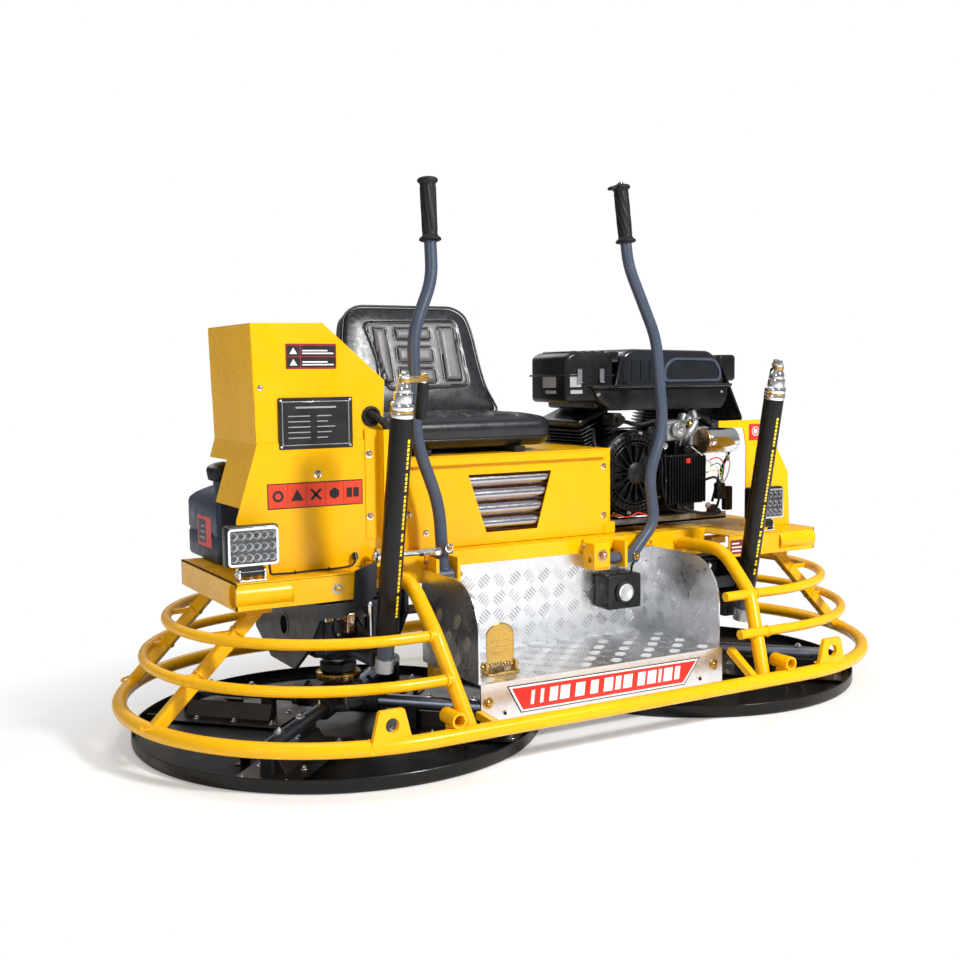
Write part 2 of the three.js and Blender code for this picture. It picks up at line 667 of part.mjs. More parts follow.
function regulator() {
  const plate = box(458, 596, -26, -16, 476, 618);
  const fins = [0, 1, 2, 3, 4, 5, 6, 7].map((i) => box(460 + 18 * i, 468 + 18 * i, -42, -20, 480, 614));
  const stay = box(540, 575, -20, 61.7, 530, 550);
  return union(plate, fins, stay);
}
add("engine_block", engineBlock(), CASTING);
add("engine_fan_housing", fanHousing(), BLACK);
add("engine_top_cover", topCover(), BLACK);
add("air_cleaner", airCleaner(), BLACK);
add("exhaust_heat_shield", heatShield(), BLACK);
add("oil_filter", oilFilter(), CHROME);
add("voltage_regulator", regulator(), BLACK);

// ---- drive -----------------------------------------------------------------------------------
const BELT = { y: 372, w: 18, x: 200, rTop: 55, rLow: 75 };
function pulleyOn(x, z, r, y0) {
  const wheel = rod([x, BELT.y - 12, z], [x, BELT.y + 12, z], r, 28);
  const shaft = rod([x, y0, z], [x, BELT.y + 16, z], SHAFT_R);
  return union(wheel, shaft);
}
function driveBelt() {
  const round = (r) => {
    const dx = CRANK.x - BELT.x;
    const dz = CRANK.z - TILT_Z;
    const span = Math.hypot(dx, dz);
    const lean = Math.atan2(dz, dx);
    const wrap = Math.acos((BELT.rLow - BELT.rTop) / span);
    const points = [];
    const arc = (cx, cz, radius, from, to, n) => {
      for (let i = 0; i <= n; i += 1) {
        const a = from + ((to - from) * i) / n;
        points.push([cx + radius * Math.cos(a), cz + radius * Math.sin(a)]);
      }
    };
    arc(CRANK.x, CRANK.z, BELT.rTop + r, lean - wrap, lean + wrap, 10);
    arc(BELT.x, TILT_Z, BELT.rLow + r, lean + wrap, lean - wrap + 2 * Math.PI, 12);
    return points;
  };
  const half = BELT.w / 2;
  return cut(plateXZ(round(9), BELT.y - half, BELT.y + half), plateXZ(round(0.8), BELT.y - 20, BELT.y + 20));
}
function transferGearbox() {
  const shell = box(140, 260, -62, 62, TILT_Z - 62, TILT_Z + 62);
  const inside = box(152, 248, -50, 50, TILT_Z - 50, TILT_Z + 50);
  const across = rod([100, 0, TILT_Z], [300, 0, TILT_Z], SHAFT_R + 0.6);
  const along = rod([BELT.x, 0, TILT_Z], [BELT.x, 100, TILT_Z], SHAFT_R + 0.6);
  const lug = box(175, 225, -30, 30, TILT_Z + 60, BEAM.z0 - GAP - 8);
  return cut(union(shell, lug), inside, across, along);
}
// A drive shaft from inside the transfer gearbox to inside a trowel gearbox, with its bevel and worm.
function driveShaft(s) {
  const start = BELT.x + s * 22;
  const end = s * 575;
  const shaft = rod([start, 0, TILT_Z], [end, 0, TILT_Z], SHAFT_R);
  const bevel = rod([start, 0, TILT_Z], [start + s * 14, 0, TILT_Z], 20);
  const joint = [BELT.x + s * 90, s * 345].map((x) => rod([x, 0, TILT_Z], [x + s * 30, 0, TILT_Z], 20, 12));
  return union(shaft, bevel, joint);
}
add("engine_pulley", pulleyOn(CRANK.x, CRANK.z, BELT.rTop, 320.6), CASTING);
add("input_pulley", pulleyOn(BELT.x, TILT_Z, BELT.rLow, 24), CASTING);
add("drive_belt", driveBelt(), BLACK);
add("transfer_gearbox", transferGearbox(), CASTING);
add("left_drive_shaft", driveShaft(-1), STEEL);
add("right_drive_shaft", driveShaft(1), STEEL);

// ---- trowel gearboxes ------------------------------------------------------------------------
const HOUSING = { x: 95, y: 82, z0: 190, z1: 332 };
function trowelGearbox(s) {
  const h = HOUSING;
  const c = s * ROTOR_X;
  const shell = box(c - h.x, c + h.x, -h.y, h.y, h.z0, h.z1);
  const inside = box(c - h.x + 12, c + h.x - 12, -h.y + 12, h.y - 12, h.z0 + 12, h.z1 - 12);
  const boss = turned([[0, h.z0 - 18], [45, h.z0 - 18], [55, h.z0 + 4], [0, h.z0 + 4]], 24);
  const arm = box(c - 24, c + 24, -240, -h.y + 4, 198, 232);
  const output = rod([c, 0, h.z0 - 30], [c, 0, h.z0 + 30], 21.5);
  const input = rod([c - h.x - 60, 0, TILT_Z], [c + h.x + 60, 0, TILT_Z], TRUNNION.inner);
  const body = union(shell, placed(boss, { at: [c, 0, 0] }), arm);
  if (s < 0) {
    const stub = rod([c - 136, 0, TILT_Z], [c + 136, 0, TILT_Z], TRUNNION.outer);
    return cut(union(body, stub), inside, output, input);
  }
  const pins = rod([c, -117, TILT_Z], [c, 117, TILT_Z], 11);
  return cut(union(body, pins), inside, output, input);
}
function cradle() {
  const c = ROTOR_X;
  const ring = cut(
    box(c - 118, c + 118, -118, 118, TILT_Z - 16, TILT_Z + 16),
    box(c - 106, c + 106, -106, 106, TILT_Z - 20, TILT_Z + 20)
  );
  const trunnion = rod([c - 136, 0, TILT_Z], [c + 136, 0, TILT_Z], TRUNNION.outer);
  const stubs = cut(trunnion, box(c - 107, c + 107, -40, 40, TILT_Z - 40, TILT_Z + 40));
  const pins = rod([c, -130, TILT_Z], [c, 130, TILT_Z], 11.5);
  const bore = rod([c - 150, 0, TILT_Z], [c + 150, 0, TILT_Z], TRUNNION.inner);
  return cut(union(ring, stubs), pins, bore);
}

// ---- rotors ----------------------------------------------------------------------------------
const ARMS = [45, 135, 225, 315];
function rotor() {
  const shaft = rod([0, 0, 60], [0, 0, 244], 20);
  const wheel = rod([0, 0, 222], [0, 0, 240], 58, 28);
  const hub = turned([[0, 52], [70, 52], [78, 62], [78, 84], [46, 100], [30, 120], [0, 120]], 24);
  const arms = ARMS.map((deg) => {
    const arm = rod([60, 0, 70], [410, 0, 70], 17, 10);
    const blade = box(120, 455, -62, 88, 8.3, 12);
    const brackets = [170, 380].map((x) => box(x, x + 30, -14, 14, 10, 66));
    return placed(union(arm, blade, brackets), { turn: deg });
  });
  return union(shaft, wheel, hub, arms);
}
function pan() {
  const t = 4;
  const profile = [[0, 0], [PAN_R - 7, 0], [PAN_R, 7], [PAN_R, PAN_LIP], [PAN_R - t, PAN_LIP],
    [PAN_R - t, 8], [PAN_R - 8, t], [0, t]];
  const clips = ARMS.map((deg) => placed(box(300, 340, -92, -80, 2, 26), { turn: deg }));
  return union(turned(profile, 40), clips);
}

// ---- pitch columns ---------------------------------------------------------------------------
// Each column leans forward from its foot; the left one is screwed further in.
const COLUMN = { x: 519, low: [-272, 200], lean: Math.atan2(125, 645), length: { left: 629, right: 647 } };
function column(l) {
  return turned([[0, 0], [19, 0], [19, l - 420], [24, l - 416], [25, l - 60], [26, l - 58], [26, l - 30],
    [21, l - 28], [21, l - 8], [0, l - 8]], 14);
}
function crank(reach) {
  const hub = turned([[0, 0], [17, 0], [17, 14], [12, 20], [12, 40], [8, 46], [0, 46]], 16);
  const web = box(-8, reach, -8, 8, 22, 34);
  const handle = rod([reach, 0, -62], [reach, 0, 40], 12, 14);
  return union(hub, web, handle);
}

for (const [name, s] of sides) {
  const place = new THREE.Group();
  place.position.x = s * ROTOR_X;
  model.add(place);
  add(`${name}_rotor`, rotor(), CASTING, place);
  add(`${name}_float_pan`, pan(), BLACK, place);
  add(`${name}_gearbox`, trowelGearbox(s), CASTING);
  const lean = new THREE.Group();
  lean.position.set(s * COLUMN.x, COLUMN.low[0], COLUMN.low[1]);
  lean.rotation.x = COLUMN.lean;
  model.add(lean);
  add(`${name}_pitch_column`, column(COLUMN.length[name]), BLACK, lean);
  const head = new THREE.Group();
  head.position.z = COLUMN.length[name] - 8 + GAP;
  head.rotation.z = s < 0 ? 0.2 : 0.95;
  lean.add(head);
  add(`${name}_pitch_crank`, crank(50), CHROME, head);
}
add("right_gearbox_cradle", cradle(), SLATE);

export default model;
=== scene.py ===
"""Looks of a ride-on power trowel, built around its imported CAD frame.

Lengths in this script are millimetres in the CAD frame; every shape is scaled to metres when it is added.
X runs along the machine, the operator faces -Y from the seat, and Z is up.
"""

import math
import random

import bmesh
import bpy
from mathutils import Matrix, Vector, geometry


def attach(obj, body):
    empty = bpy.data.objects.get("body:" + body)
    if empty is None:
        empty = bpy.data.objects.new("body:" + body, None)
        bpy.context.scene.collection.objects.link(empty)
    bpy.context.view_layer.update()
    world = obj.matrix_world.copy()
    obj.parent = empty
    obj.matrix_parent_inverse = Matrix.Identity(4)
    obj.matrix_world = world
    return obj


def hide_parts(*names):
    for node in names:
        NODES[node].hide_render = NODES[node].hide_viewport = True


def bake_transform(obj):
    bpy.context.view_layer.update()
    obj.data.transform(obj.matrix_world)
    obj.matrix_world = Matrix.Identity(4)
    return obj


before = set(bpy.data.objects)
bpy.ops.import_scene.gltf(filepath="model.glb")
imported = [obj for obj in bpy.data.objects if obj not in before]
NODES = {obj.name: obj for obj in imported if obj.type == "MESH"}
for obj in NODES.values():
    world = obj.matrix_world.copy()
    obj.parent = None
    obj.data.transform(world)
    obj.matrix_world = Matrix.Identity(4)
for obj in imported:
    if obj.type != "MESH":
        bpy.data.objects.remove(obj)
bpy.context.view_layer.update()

MM = 0.001
SIDES = (("left", -1), ("right", 1))
random.seed(7)

# ---- driving dimensions, as in the CAD model ---------------------------------------------------
ROTOR_X = 515  # either rotor's axis, from the middle
PAN_R = 485
PAN_LIP = 32
TILT_Z = 265  # height of the pivots on which the gearboxes tilt
RING_R, RING_Z, RING_TUBE = 508, 100, 17  # lower guard ring: bend, height and tube radius
RAILS = ((452, 205), (398, 290))  # (radius, height) of the two rails of a guard cage
RAIL_TUBE = 12
RAIL_END = {"left": 446, "right": 352}  # how far in the rails reach at the front
HOOP_X = {"left": 458, "right": 438}
STRUTS = (((765, -140), (997, -145)), ((780, 137), (935, 289)))  # (x, y) at the top and at the foot
TRAY_X0, TRAY_X1, TRAY_Y0, TRAY_Y1, TRAY_Z0, TRAY_Z1 = 525.3, 835, -215, 190, 350, 410
BEAM_FRONT, BEAM_REAR = -116, 200  # outer faces of the main frame's two beams
WELL_X, WELL_KICK, WELL_WALL, WELL_FLOOR = 345, -397, -120.3, 165  # foot well's faces
LEVER_Y, LEVER_Z, LEVER_LEAN, LEVER_R = -150, 370, 5, 15  # pivot, lean in degrees, tube radius
LEVER_TOP = {"left": 935, "right": 956}  # length above the pivot
FORK_X = 250  # the right lever's side pivot
COLUMN_X, COLUMN_LOW, COLUMN_LEAN = 519, (-272, 200), math.atan2(125, 645)  # foot and lean
COLUMN_LENGTH = {"left": 629, "right": 647}
CRANK_X, CRANK_Z = 375, 570  # the engine's crankshaft
SHEET_Y = -135  # front face of the left cabinet and the right guard panel
WING_Y = -138  # front face of the plate that covers the cabinet's lower part


# ---- camera ------------------------------------------------------------------------------------
def add_camera():
    yaw, pitch, roll = (math.radians(a) for a in (29.73, 5.13, -0.57))
    ahead = Vector((math.sin(yaw) * math.cos(pitch), math.cos(yaw) * math.cos(pitch), -math.sin(pitch)))
    level = Vector((math.cos(yaw), -math.sin(yaw), 0))
    upward = level.cross(ahead)
    right = level * math.cos(roll) + upward * math.sin(roll)
    up = upward * math.cos(roll) - level * math.sin(roll)
    data = bpy.data.cameras.new("photo_camera")
    data.lens = 45
    data.sensor_width = 36
    camera = bpy.data.objects.new("photo_camera", data)
    rotation = Matrix((right, up, -ahead)).transposed().to_4x4()
    camera.matrix_world = Matrix.Translation((-1.625, -2.643, 0.850)) @ rotation
    bpy.context.scene.collection.objects.link(camera)
    bpy.context.scene.camera = camera


add_camera()


# ---- materials ---------------------------------------------------------------------------------
def add_node(nodes, kind, **sockets):
    """A new shader node whose input sockets hold the given values."""
    node = nodes.new(f"ShaderNode{kind}")
    for socket, value in sockets.items():
        node.inputs[socket.replace("_", " ")].default_value = value
    return node


class Look:
    """A node material under construction: a Principled shader over object coordinates."""

    def __init__(self, name, color, roughness, metallic=0.0, **sockets):
        self.material = bpy.data.materials.new(name)
        self.material.use_nodes = True
        self.nodes = self.material.node_tree.nodes
        self.links = self.material.node_tree.links
        self.shader = self.nodes["Principled BSDF"]
        self.color = (*color, 1)
        self.roughness = roughness
        self.set("Base Color", self.color)
        self.set("Roughness", roughness)
        self.set("Metallic", metallic)
        for socket, value in sockets.items():
            self.set(socket.replace("_", " "), value)
        self.place = add_node(self.nodes, "TexCoord").outputs["Object"]

    def set(self, socket, value):
        self.shader.inputs[socket].default_value = value

    def stretched(self, scale):
        mapping = add_node(self.nodes, "Mapping", Scale=scale)
        self.links.new(self.place, mapping.inputs["Vector"])
        return mapping.outputs["Vector"]

    def noise(self, scale, detail=3, stretch=None):
        node = add_node(self.nodes, "TexNoise", Scale=scale, Detail=detail)
        self.links.new(self.stretched(stretch) if stretch else self.place, node.inputs["Vector"])
        return node.outputs["Fac"]

    def cells(self, scale):
        node = add_node(self.nodes, "TexVoronoi")
        node.feature = "DISTANCE_TO_EDGE"
        node.inputs["Scale"].default_value = scale
        self.links.new(self.place, node.inputs["Vector"])
        return node.outputs["Distance"]

    def ramp(self, value, low, high, start=0.3, end=0.7):
        node = add_node(self.nodes, "MapRange", From_Min=start, From_Max=end, To_Min=low, To_Max=high)
        self.links.new(value, node.inputs["Value"])
        return node.outputs["Result"]

    def vary(self, value, other, amount=1.0, start=0.35, end=0.65):
        """The colour drifts from the base towards another one where the value is high."""
        mix = add_node(self.nodes, "Mix")
        mix.data_type = "RGBA"
        current = self.shader.inputs["Base Color"]
        if current.links:
            self.links.new(current.links[0].from_socket, mix.inputs["A"])
        else:
            mix.inputs["A"].default_value = self.color
        mix.inputs["B"].default_value = (*other, 1)
        self.links.new(self.ramp(value, 0, amount, start, end), mix.inputs["Factor"])
        self.links.new(mix.outputs["Result"], current)
        return self

    def rough(self, value, spread, start=0.3, end=0.7):
        low = max(0.02, self.roughness - spread)
        high = min(1.0, self.roughness + spread)
        self.links.new(self.ramp(value, low, high, start, end), self.shader.inputs["Roughness"])
        return self

    def bump(self, value, strength, depth):
        node = add_node(self.nodes, "Bump", Strength=strength, Distance=depth)
        previous = self.shader.inputs["Normal"]
        if previous.links:
            self.links.new(previous.links[0].from_socket, node.inputs["Normal"])
        self.links.new(value, node.inputs["Height"])
        self.links.new(node.outputs["Normal"], previous)
        return self


def paint(name, color, roughness, coat=0.3, dust=(0.6, 0.34, 0.04), shine=0.5):
    look = Look(name, color, roughness, Coat_Weight=coat, Coat_Roughness=0.12, Specular_IOR_Level=shine)
    darker = tuple(c * 0.8 for c in color)
    look.vary(look.noise(3.5), darker, 0.6)
    look.vary(look.noise(42, 5), dust, 0.16, 0.6, 0.78)
    look.rough(look.noise(26, 4), 0.08)
    look.bump(look.noise(330, 2), 0.12, 0.0004)
    look.bump(look.noise(9, 2), 0.05, 0.004)
    return look.material


def metal(name, color, roughness, stretch=(1, 1, 1), grain=220, spread=0.1, tint=None):
    look = Look(name, color, roughness, 1.0)
    look.vary(look.noise(14, 4), tint or tuple(c * 0.8 for c in color), 0.5)
    look.rough(look.noise(grain, 3, stretch), spread)
    look.bump(look.noise(grain * 1.7, 2, stretch), 0.12, 0.0003)
    return look.material


def plastic(name, color, roughness, grain=600, depth=0.0002, **sockets):
    look = Look(name, color, roughness, 0.0, **sockets)
    look.vary(look.noise(7, 3), tuple(min(1, c * 1.5 + 0.004) for c in color), 0.5)
    look.rough(look.noise(35, 4), 0.08)
    look.bump(look.noise(grain, 2), 0.25, depth)
    return look.material


def vinyl(name, color, roughness):
    look = Look(name, color, roughness, 0.0, Coat_Weight=0.1, Coat_Roughness=0.3, Specular_IOR_Level=0.4)
    look.vary(look.noise(11, 4), tuple(min(1, c * 1.7 + 0.01) for c in color), 0.5)
    look.rough(look.noise(60, 4), 0.07)
    look.bump(look.cells(420), 0.3, 0.0003)
    look.bump(look.noise(16, 2), 0.08, 0.002)
    return look.material


def casting(name, color, roughness, metallic):
    look = Look(name, color, roughness, metallic)
    look.vary(look.noise(18, 5), tuple(c * 2.1 for c in color), 0.5)
    look.vary(look.noise(60, 4), (0.16, 0.11, 0.06), 0.25, 0.62, 0.8)
    look.rough(look.noise(80, 4), 0.12)
    look.bump(look.noise(420, 4), 0.4, 0.0006)
    return look.material


YELLOW = paint("yellow_paint", (1.0, 0.52, 0.0), 0.3, 0.14, shine=0.25)
SLATE = paint("slate_paint", (0.06, 0.078, 0.118), 0.34, 0.25, (0.12, 0.12, 0.13), 0.4)
DARK_SLATE = paint("dark_slate_paint", (0.022, 0.026, 0.034), 0.4, 0.15, (0.09, 0.075, 0.06), 0.35)
BLACK = paint("black_paint", (0.007, 0.007, 0.008), 0.3, 0.2, (0.04, 0.034, 0.03), 0.35)
COVER = paint("blue_black_cover", (0.007, 0.009, 0.015), 0.14, 0.8, (0.02, 0.024, 0.03))
SLEEVE = plastic("column_sleeve", (0.006, 0.005, 0.005), 0.3, Specular_IOR_Level=0.3)
PLASTIC = plastic("black_plastic", (0.005, 0.005, 0.006), 0.3, Specular_IOR_Level=0.35)
RUBBER = plastic("rubber", (0.009, 0.009, 0.009), 0.55, 300, 0.0004, Specular_IOR_Level=0.3)
CAN = plastic("can_plastic", (0.018, 0.03, 0.055), 0.4, 350, 0.0004, Specular_IOR_Level=0.35)
LEATHER = vinyl("seat_vinyl", (0.009, 0.01, 0.013), 0.3)
# The seat is black vinyl. This grey for its recessed back panel and pads is a painted sheen: the light that
# the vinyl reflects, painted into the colour.
SHEEN_PAINTED_VINYL = vinyl("seat_panel_painted_sheen", (0.13, 0.125, 0.13), 0.42)
CASTING = casting("cast_iron", (0.018, 0.019, 0.022), 0.5, 0.5)
ENGINE = casting("engine_casting", (0.006, 0.0065, 0.008), 0.36, 0.3)
ALLOY = casting("alloy_casting", (0.32, 0.33, 0.34), 0.42, 0.9)
CHROME = metal("chrome", (0.86, 0.88, 0.9), 0.1, spread=0.04)
STEEL = metal("brushed_steel", (0.55, 0.57, 0.6), 0.3, (1, 14, 14))
PIPES = metal("steel_pipe", (0.5, 0.5, 0.55), 0.2, (0.4, 6, 6))
ALUMINIUM = metal("tread_aluminium", (0.8, 0.81, 0.83), 0.3, grain=50, spread=0.05,
                  tint=(0.7, 0.71, 0.73))
RIDGES = metal("worn_ridges", (0.62, 0.63, 0.65), 0.52, grain=50, spread=0.08, tint=(0.5, 0.51, 0.53))
GOLD = metal("zinc_gold", (0.62, 0.38, 0.09), 0.24, tint=(0.4, 0.28, 0.12))
COPPER = metal("zinc_copper", (0.62, 0.36, 0.2), 0.3, tint=(0.6, 0.5, 0.3))
BLADE = metal("blade_steel", (0.085, 0.075, 0.07), 0.42, (1, 9, 9), tint=(0.06, 0.045, 0.04))
ARM = metal("arm_steel", (0.32, 0.38, 0.48), 0.3, (1, 9, 9))
PAN = paint("pan_black", (0.004, 0.004, 0.004), 0.36, 0.12, (0.04, 0.03, 0.026), 0.25)
WHITE = plastic("white_decal", (0.86, 0.86, 0.84), 0.4)
GREY = plastic("grey_decal", (0.32, 0.32, 0.33), 0.4)
RED = plastic("red_decal", (0.66, 0.02, 0.012), 0.36)
DARK_RED = plastic("dark_red_decal", (0.22, 0.012, 0.015), 0.36)
ORANGE = plastic("orange_decal", (0.7, 0.045, 0.008), 0.4)
INK = plastic("ink_decal", (0.008, 0.008, 0.009), 0.36)
STRIPE = plastic("yellow_decal", (0.95, 0.6, 0.0), 0.4)
GREEN = plastic("green_insulation", (0.02, 0.3, 0.06), 0.4)
CLEAR = Look("lamp_glass", (0.96, 0.98, 1.0), 0.04, 0.0, Transmission_Weight=1.0, IOR=1.45)
CLEAR.rough(CLEAR.noise(90), 0.03)
CLEAR = CLEAR.material
LED = Look("lamp_led", (0.95, 0.93, 0.8), 0.3, 0.0, Emission_Color=(1, 0.97, 0.88, 1), Emission_Strength=0.8)
LED.vary(LED.noise(300), (0.8, 0.7, 0.35), 0.5)
LED = LED.material


# ---- shapes ------------------------------------------------------------------------------------
def arc(cx, cy, r, start, end, steps):
    """Points of an arc, in degrees, as [x, y] pairs."""
    turns = (math.radians(start + (end - start) * i / steps) for i in range(steps + 1))
    return [(cx + r * math.cos(a), cy + r * math.sin(a)) for a in turns]


def rounded(x0, y0, x1, y1, r, steps=5):
    """A rectangle with round corners."""
    corners = ((x1 - r, y0 + r, -90), (x1 - r, y1 - r, 0), (x0 + r, y1 - r, 90), (x0 + r, y0 + r, 180))
    return [p for cx, cy, a in corners for p in arc(cx, cy, r, a, a + 90, steps)]


def bent(points, steps=8):
    """A path of straight runs whose corners are rounded. Each point is (x, y, z[, bend])."""
    path = [Vector(points[0][:3])]
    for before, here, after in zip(points, points[1:], points[2:]):
        corner = Vector(here[:3])
        bend = here[3] if len(here) > 3 else 40
        start = corner + (Vector(before[:3]) - corner).normalized() * bend
        end = corner + (Vector(after[:3]) - corner).normalized() * bend
        for i in range(steps + 1):
            t = i / steps
            path.append(start * (1 - t) ** 2 + corner * 2 * t * (1 - t) + end * t * t)
    path.append(Vector(points[-1][:3]))
    return path


def flowing(points, steps=8):
    """A smooth curve through the points."""
    p = [Vector(q) for q in points]
    p = [p[0] * 2 - p[1], *p, p[-1] * 2 - p[-2]]
    path = []
    for a, b, c, d in zip(p, p[1:], p[2:], p[3:]):
        for i in range(steps):
            t = i / steps
            path.append((b * 2 + (c - a) * t + (a * 2 - b * 5 + c * 4 - d) * t * t
                         + (b * 3 - a - c * 3 + d) * t ** 3) / 2)
    path.append(p[-2])
    return path


def turn_to(direction):
    """The rotation that carries +Z to a direction."""
    return Vector(direction).to_track_quat("Z", "Y").to_matrix().to_4x4()


class Piece:
    """One object of closed shapes. Each shape takes the current material and the current frame."""

    def __init__(self, name, material, place=None):
        self.name = name
        self.mesh = bmesh.new()
        self.materials = []
        self.place = place or Matrix.Identity(4)
        self.use(material)

    def use(self, material):
        if material not in self.materials:
            self.materials.append(material)
        self.slot = self.materials.index(material)
        return self

    def add(self, points, faces, local=None):
        move = Matrix.Scale(MM, 4) @ self.place @ (local or Matrix.Identity(4))
        corners = [self.mesh.verts.new(move @ Vector(p)) for p in points]
        for face in faces:
            made = self.mesh.faces.new([corners[i] for i in face])
            made.material_index = self.slot
            made.smooth = True
        return self

    def rings(self, rings, local=None, looped=False):
        """A skin over rings of equal length, closed by flat ends or into a loop."""
        n = len(rings[0])
        points = [p for ring in rings for p in ring]
        faces = []
        spans = len(rings) if looped else len(rings) - 1
        for k in range(spans):
            a, b = k * n, (k + 1) % len(rings) * n
            faces += [(a + i, a + (i + 1) % n, b + (i + 1) % n, b + i) for i in range(n)]
        if not looped:
            faces += [tuple(range(n))[::-1], tuple(range(len(points) - n, len(points)))]
        return self.add(points, faces, local)

    def block(self, x0, x1, y0, y1, z0, z1, local=None):
        rings = [[(x0, y0, z), (x1, y0, z), (x1, y1, z), (x0, y1, z)] for z in (z0, z1)]
        return self.rings(rings, local)

    def soft_block(self, x0, x1, y0, y1, z0, z1, r, local=None):
        """A block whose upright edges and rims are round."""
        levels = [(z0 + r - r * math.cos(math.radians(a)), r - r * math.sin(math.radians(a)))
                  for a in (0, 30, 60, 90)]
        levels += [(z0 + z1 - z, inset) for z, inset in reversed(levels)]
        rings = []
        for z, inset in levels:
            ring = rounded(x0 + inset, y0 + inset, x1 - inset, y1 - inset, max(r * 1.2 - inset, 0.3))
            rings.append([(x, y, z) for x, y in ring])
        return self.rings(rings, local)

    def prism(self, outline, low, high, plane="xz", holes=(), local=None):
        """A plate from an outline, with holes, between two levels of the axis across it."""
        place = {
            "xz": lambda p, t: (p[0], t, p[1]),
            "yz": lambda p, t: (t, p[0], p[1]),
            "xy": lambda p, t: (p[0], p[1], t),
        }[plane]
        loops = [list(outline), *[list(h) for h in holes]]
        flat = [p for loop in loops for p in loop]
        n = len(flat)
        if holes:
            caps = geometry.tessellate_polygon([[Vector((x, y, 0)) for x, y in loop] for loop in loops])
        else:
            caps = [tuple(range(n))]
        faces = [tuple(f) for f in caps] + [tuple(i + n for i in f)[::-1] for f in caps]
        start = 0
        for loop in loops:
            count = len(loop)
            for i in range(count):
                a, b = start + i, start + (i + 1) % count
                faces.append((a, b, b + n, a + n))
            start += count
        points = [place(p, low) for p in flat] + [place(p, high) for p in flat]
        return self.add(points, faces, local)

    def lathe(self, profile, at=(0, 0, 0), axis=(0, 0, 1), sides=32, looped=False):
        """A body turned about an axis from (radius, height) points."""
        local = Matrix.Translation(at) @ turn_to(axis)
        spots = [(math.cos(math.tau * i / sides), math.sin(math.tau * i / sides)) for i in range(sides)]
        rings = [[(max(r, 0.05) * c, max(r, 0.05) * s, z) for c, s in spots] for r, z in profile]
        return self.rings(rings, local, looped)

    def rod(self, a, b, r, r_end=None, sides=24):
        along = Vector(b) - Vector(a)
        end = r if r_end is None else r_end
        return self.lathe([(r, 0), (end, along.length)], a, along, sides)

    def sleeve(self, a, b, outer, inner, sides=28):
        length = (Vector(b) - Vector(a)).length
        profile = [(inner, 0), (outer, 0), (outer, length), (inner, length)]
        return self.lathe(profile, a, Vector(b) - Vector(a), sides, looped=True)

    def tube(self, path, r, sides=16, looped=False, flat=1.0):
        """A round bar swept along a path, without twist."""
        path = [Vector(p) for p in path]
        count = len(path)
        rings = []
        side = None
        for i, here in enumerate(path):
            before = path[(i - 1) % count] if looped or i else here
            after = path[(i + 1) % count] if looped or i < count - 1 else here
            along = (after - before).normalized()
            if side is None:
                side = along.orthogonal().normalized()
                if abs(along.z) < 0.9:
                    side = along.cross(Vector((0, 0, 1))).normalized()
            side = (side - along * side.dot(along)).normalized()
            other = along.cross(side)
            ring = []
            for k in range(sides):
                a = math.tau * k / sides
                ring.append(here + side * (r * math.cos(a)) + other * (r * flat * math.sin(a)))
            rings.append(ring)
        return self.rings(rings, looped=looped)

    def beam(self, a, b, width):
        """A square bar with slightly round edges, its sides level."""
        a, b = Vector(a), Vector(b)
        along = (b - a).normalized()
        side = along.cross(Vector((0, 0, 1))).normalized()
        up = side.cross(along)
        square = rounded(-width / 2, -width / 2, width / 2, width / 2, width * 0.1, 3)
        return self.rings([[at + side * u + up * v for u, v in square] for at in (a, b)])

    def ball(self, at, r, squash=1.0, axis=(0, 0, 1), sides=20):
        profile = [(r * math.sin(math.radians(a)), -r * squash * math.cos(math.radians(a)))
                   for a in range(0, 181, 15)]
        return self.lathe(profile, at, axis, sides)

    def torus(self, at, axis, major, minor, sides=32, rough=0.0):
        """A bead round an axis; roughness makes it look like a weld."""
        local = Matrix.Translation(at) @ turn_to(axis)
        rings = []
        for i in range(sides):
            a = math.tau * i / sides
            fat = minor * (1 + rough * random.uniform(-1, 1))
            rings.append([((major + fat * math.cos(b)) * math.cos(a),
                           (major + fat * math.cos(b)) * math.sin(a),
                           fat * math.sin(b)) for b in (math.radians(45 * k) for k in range(8))])
        return self.rings(rings, local, looped=True)

    def bolt(self, at, axis, r=7, head=None, washer=None):
        """A washer, a hexagon head and its crown, standing on a face."""
        look = self.slot
        if washer:
            self.use(washer)
        self.lathe([(r * 1.55, -0.5), (r * 1.55, 1.4), (r * 1.1, 1.8)], at, axis, 24)
        if head:
            self.use(head)
        self.lathe([(r, 1.2), (r, r * 0.85), (r * 0.86, r * 1.0)], at, axis, 6)
        self.lathe([(r * 0.5, r * 0.9), (r * 0.5, r * 1.25), (r * 0.35, r * 1.35)], at, axis, 14)
        self.slot = look
        return self

    def done(self, body, replaces=(), bevel=0.8, sharp=38, segments=2):
        bmesh.ops.recalc_face_normals(self.mesh, faces=self.mesh.faces)
        for edge in self.mesh.edges:
            if len(edge.link_faces) == 2 and edge.calc_face_angle() > math.radians(sharp):
                edge.smooth = False
        data = bpy.data.meshes.new(self.name)
        self.mesh.to_mesh(data)
        self.mesh.free()
        for material in self.materials:
            data.materials.append(material)
        piece = bpy.data.objects.new(self.name, data)
        bpy.context.scene.collection.objects.link(piece)
        if bevel:
            soften(piece, bevel, sharp, segments)
        if body:
            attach(piece, body)
        if replaces:
            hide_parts(*replaces)
        return piece


def soften(piece, width, sharp=38, segments=2):
    """Rounds the sharp edges, so that they catch the light as real ones do."""
    bevel = piece.modifiers.new("round_edges", "BEVEL")
    bevel.width = width * MM
    bevel.segments = segments
    bevel.limit_method = "ANGLE"
    bevel.angle_limit = math.radians(sharp)
    bevel.harden_normals = True


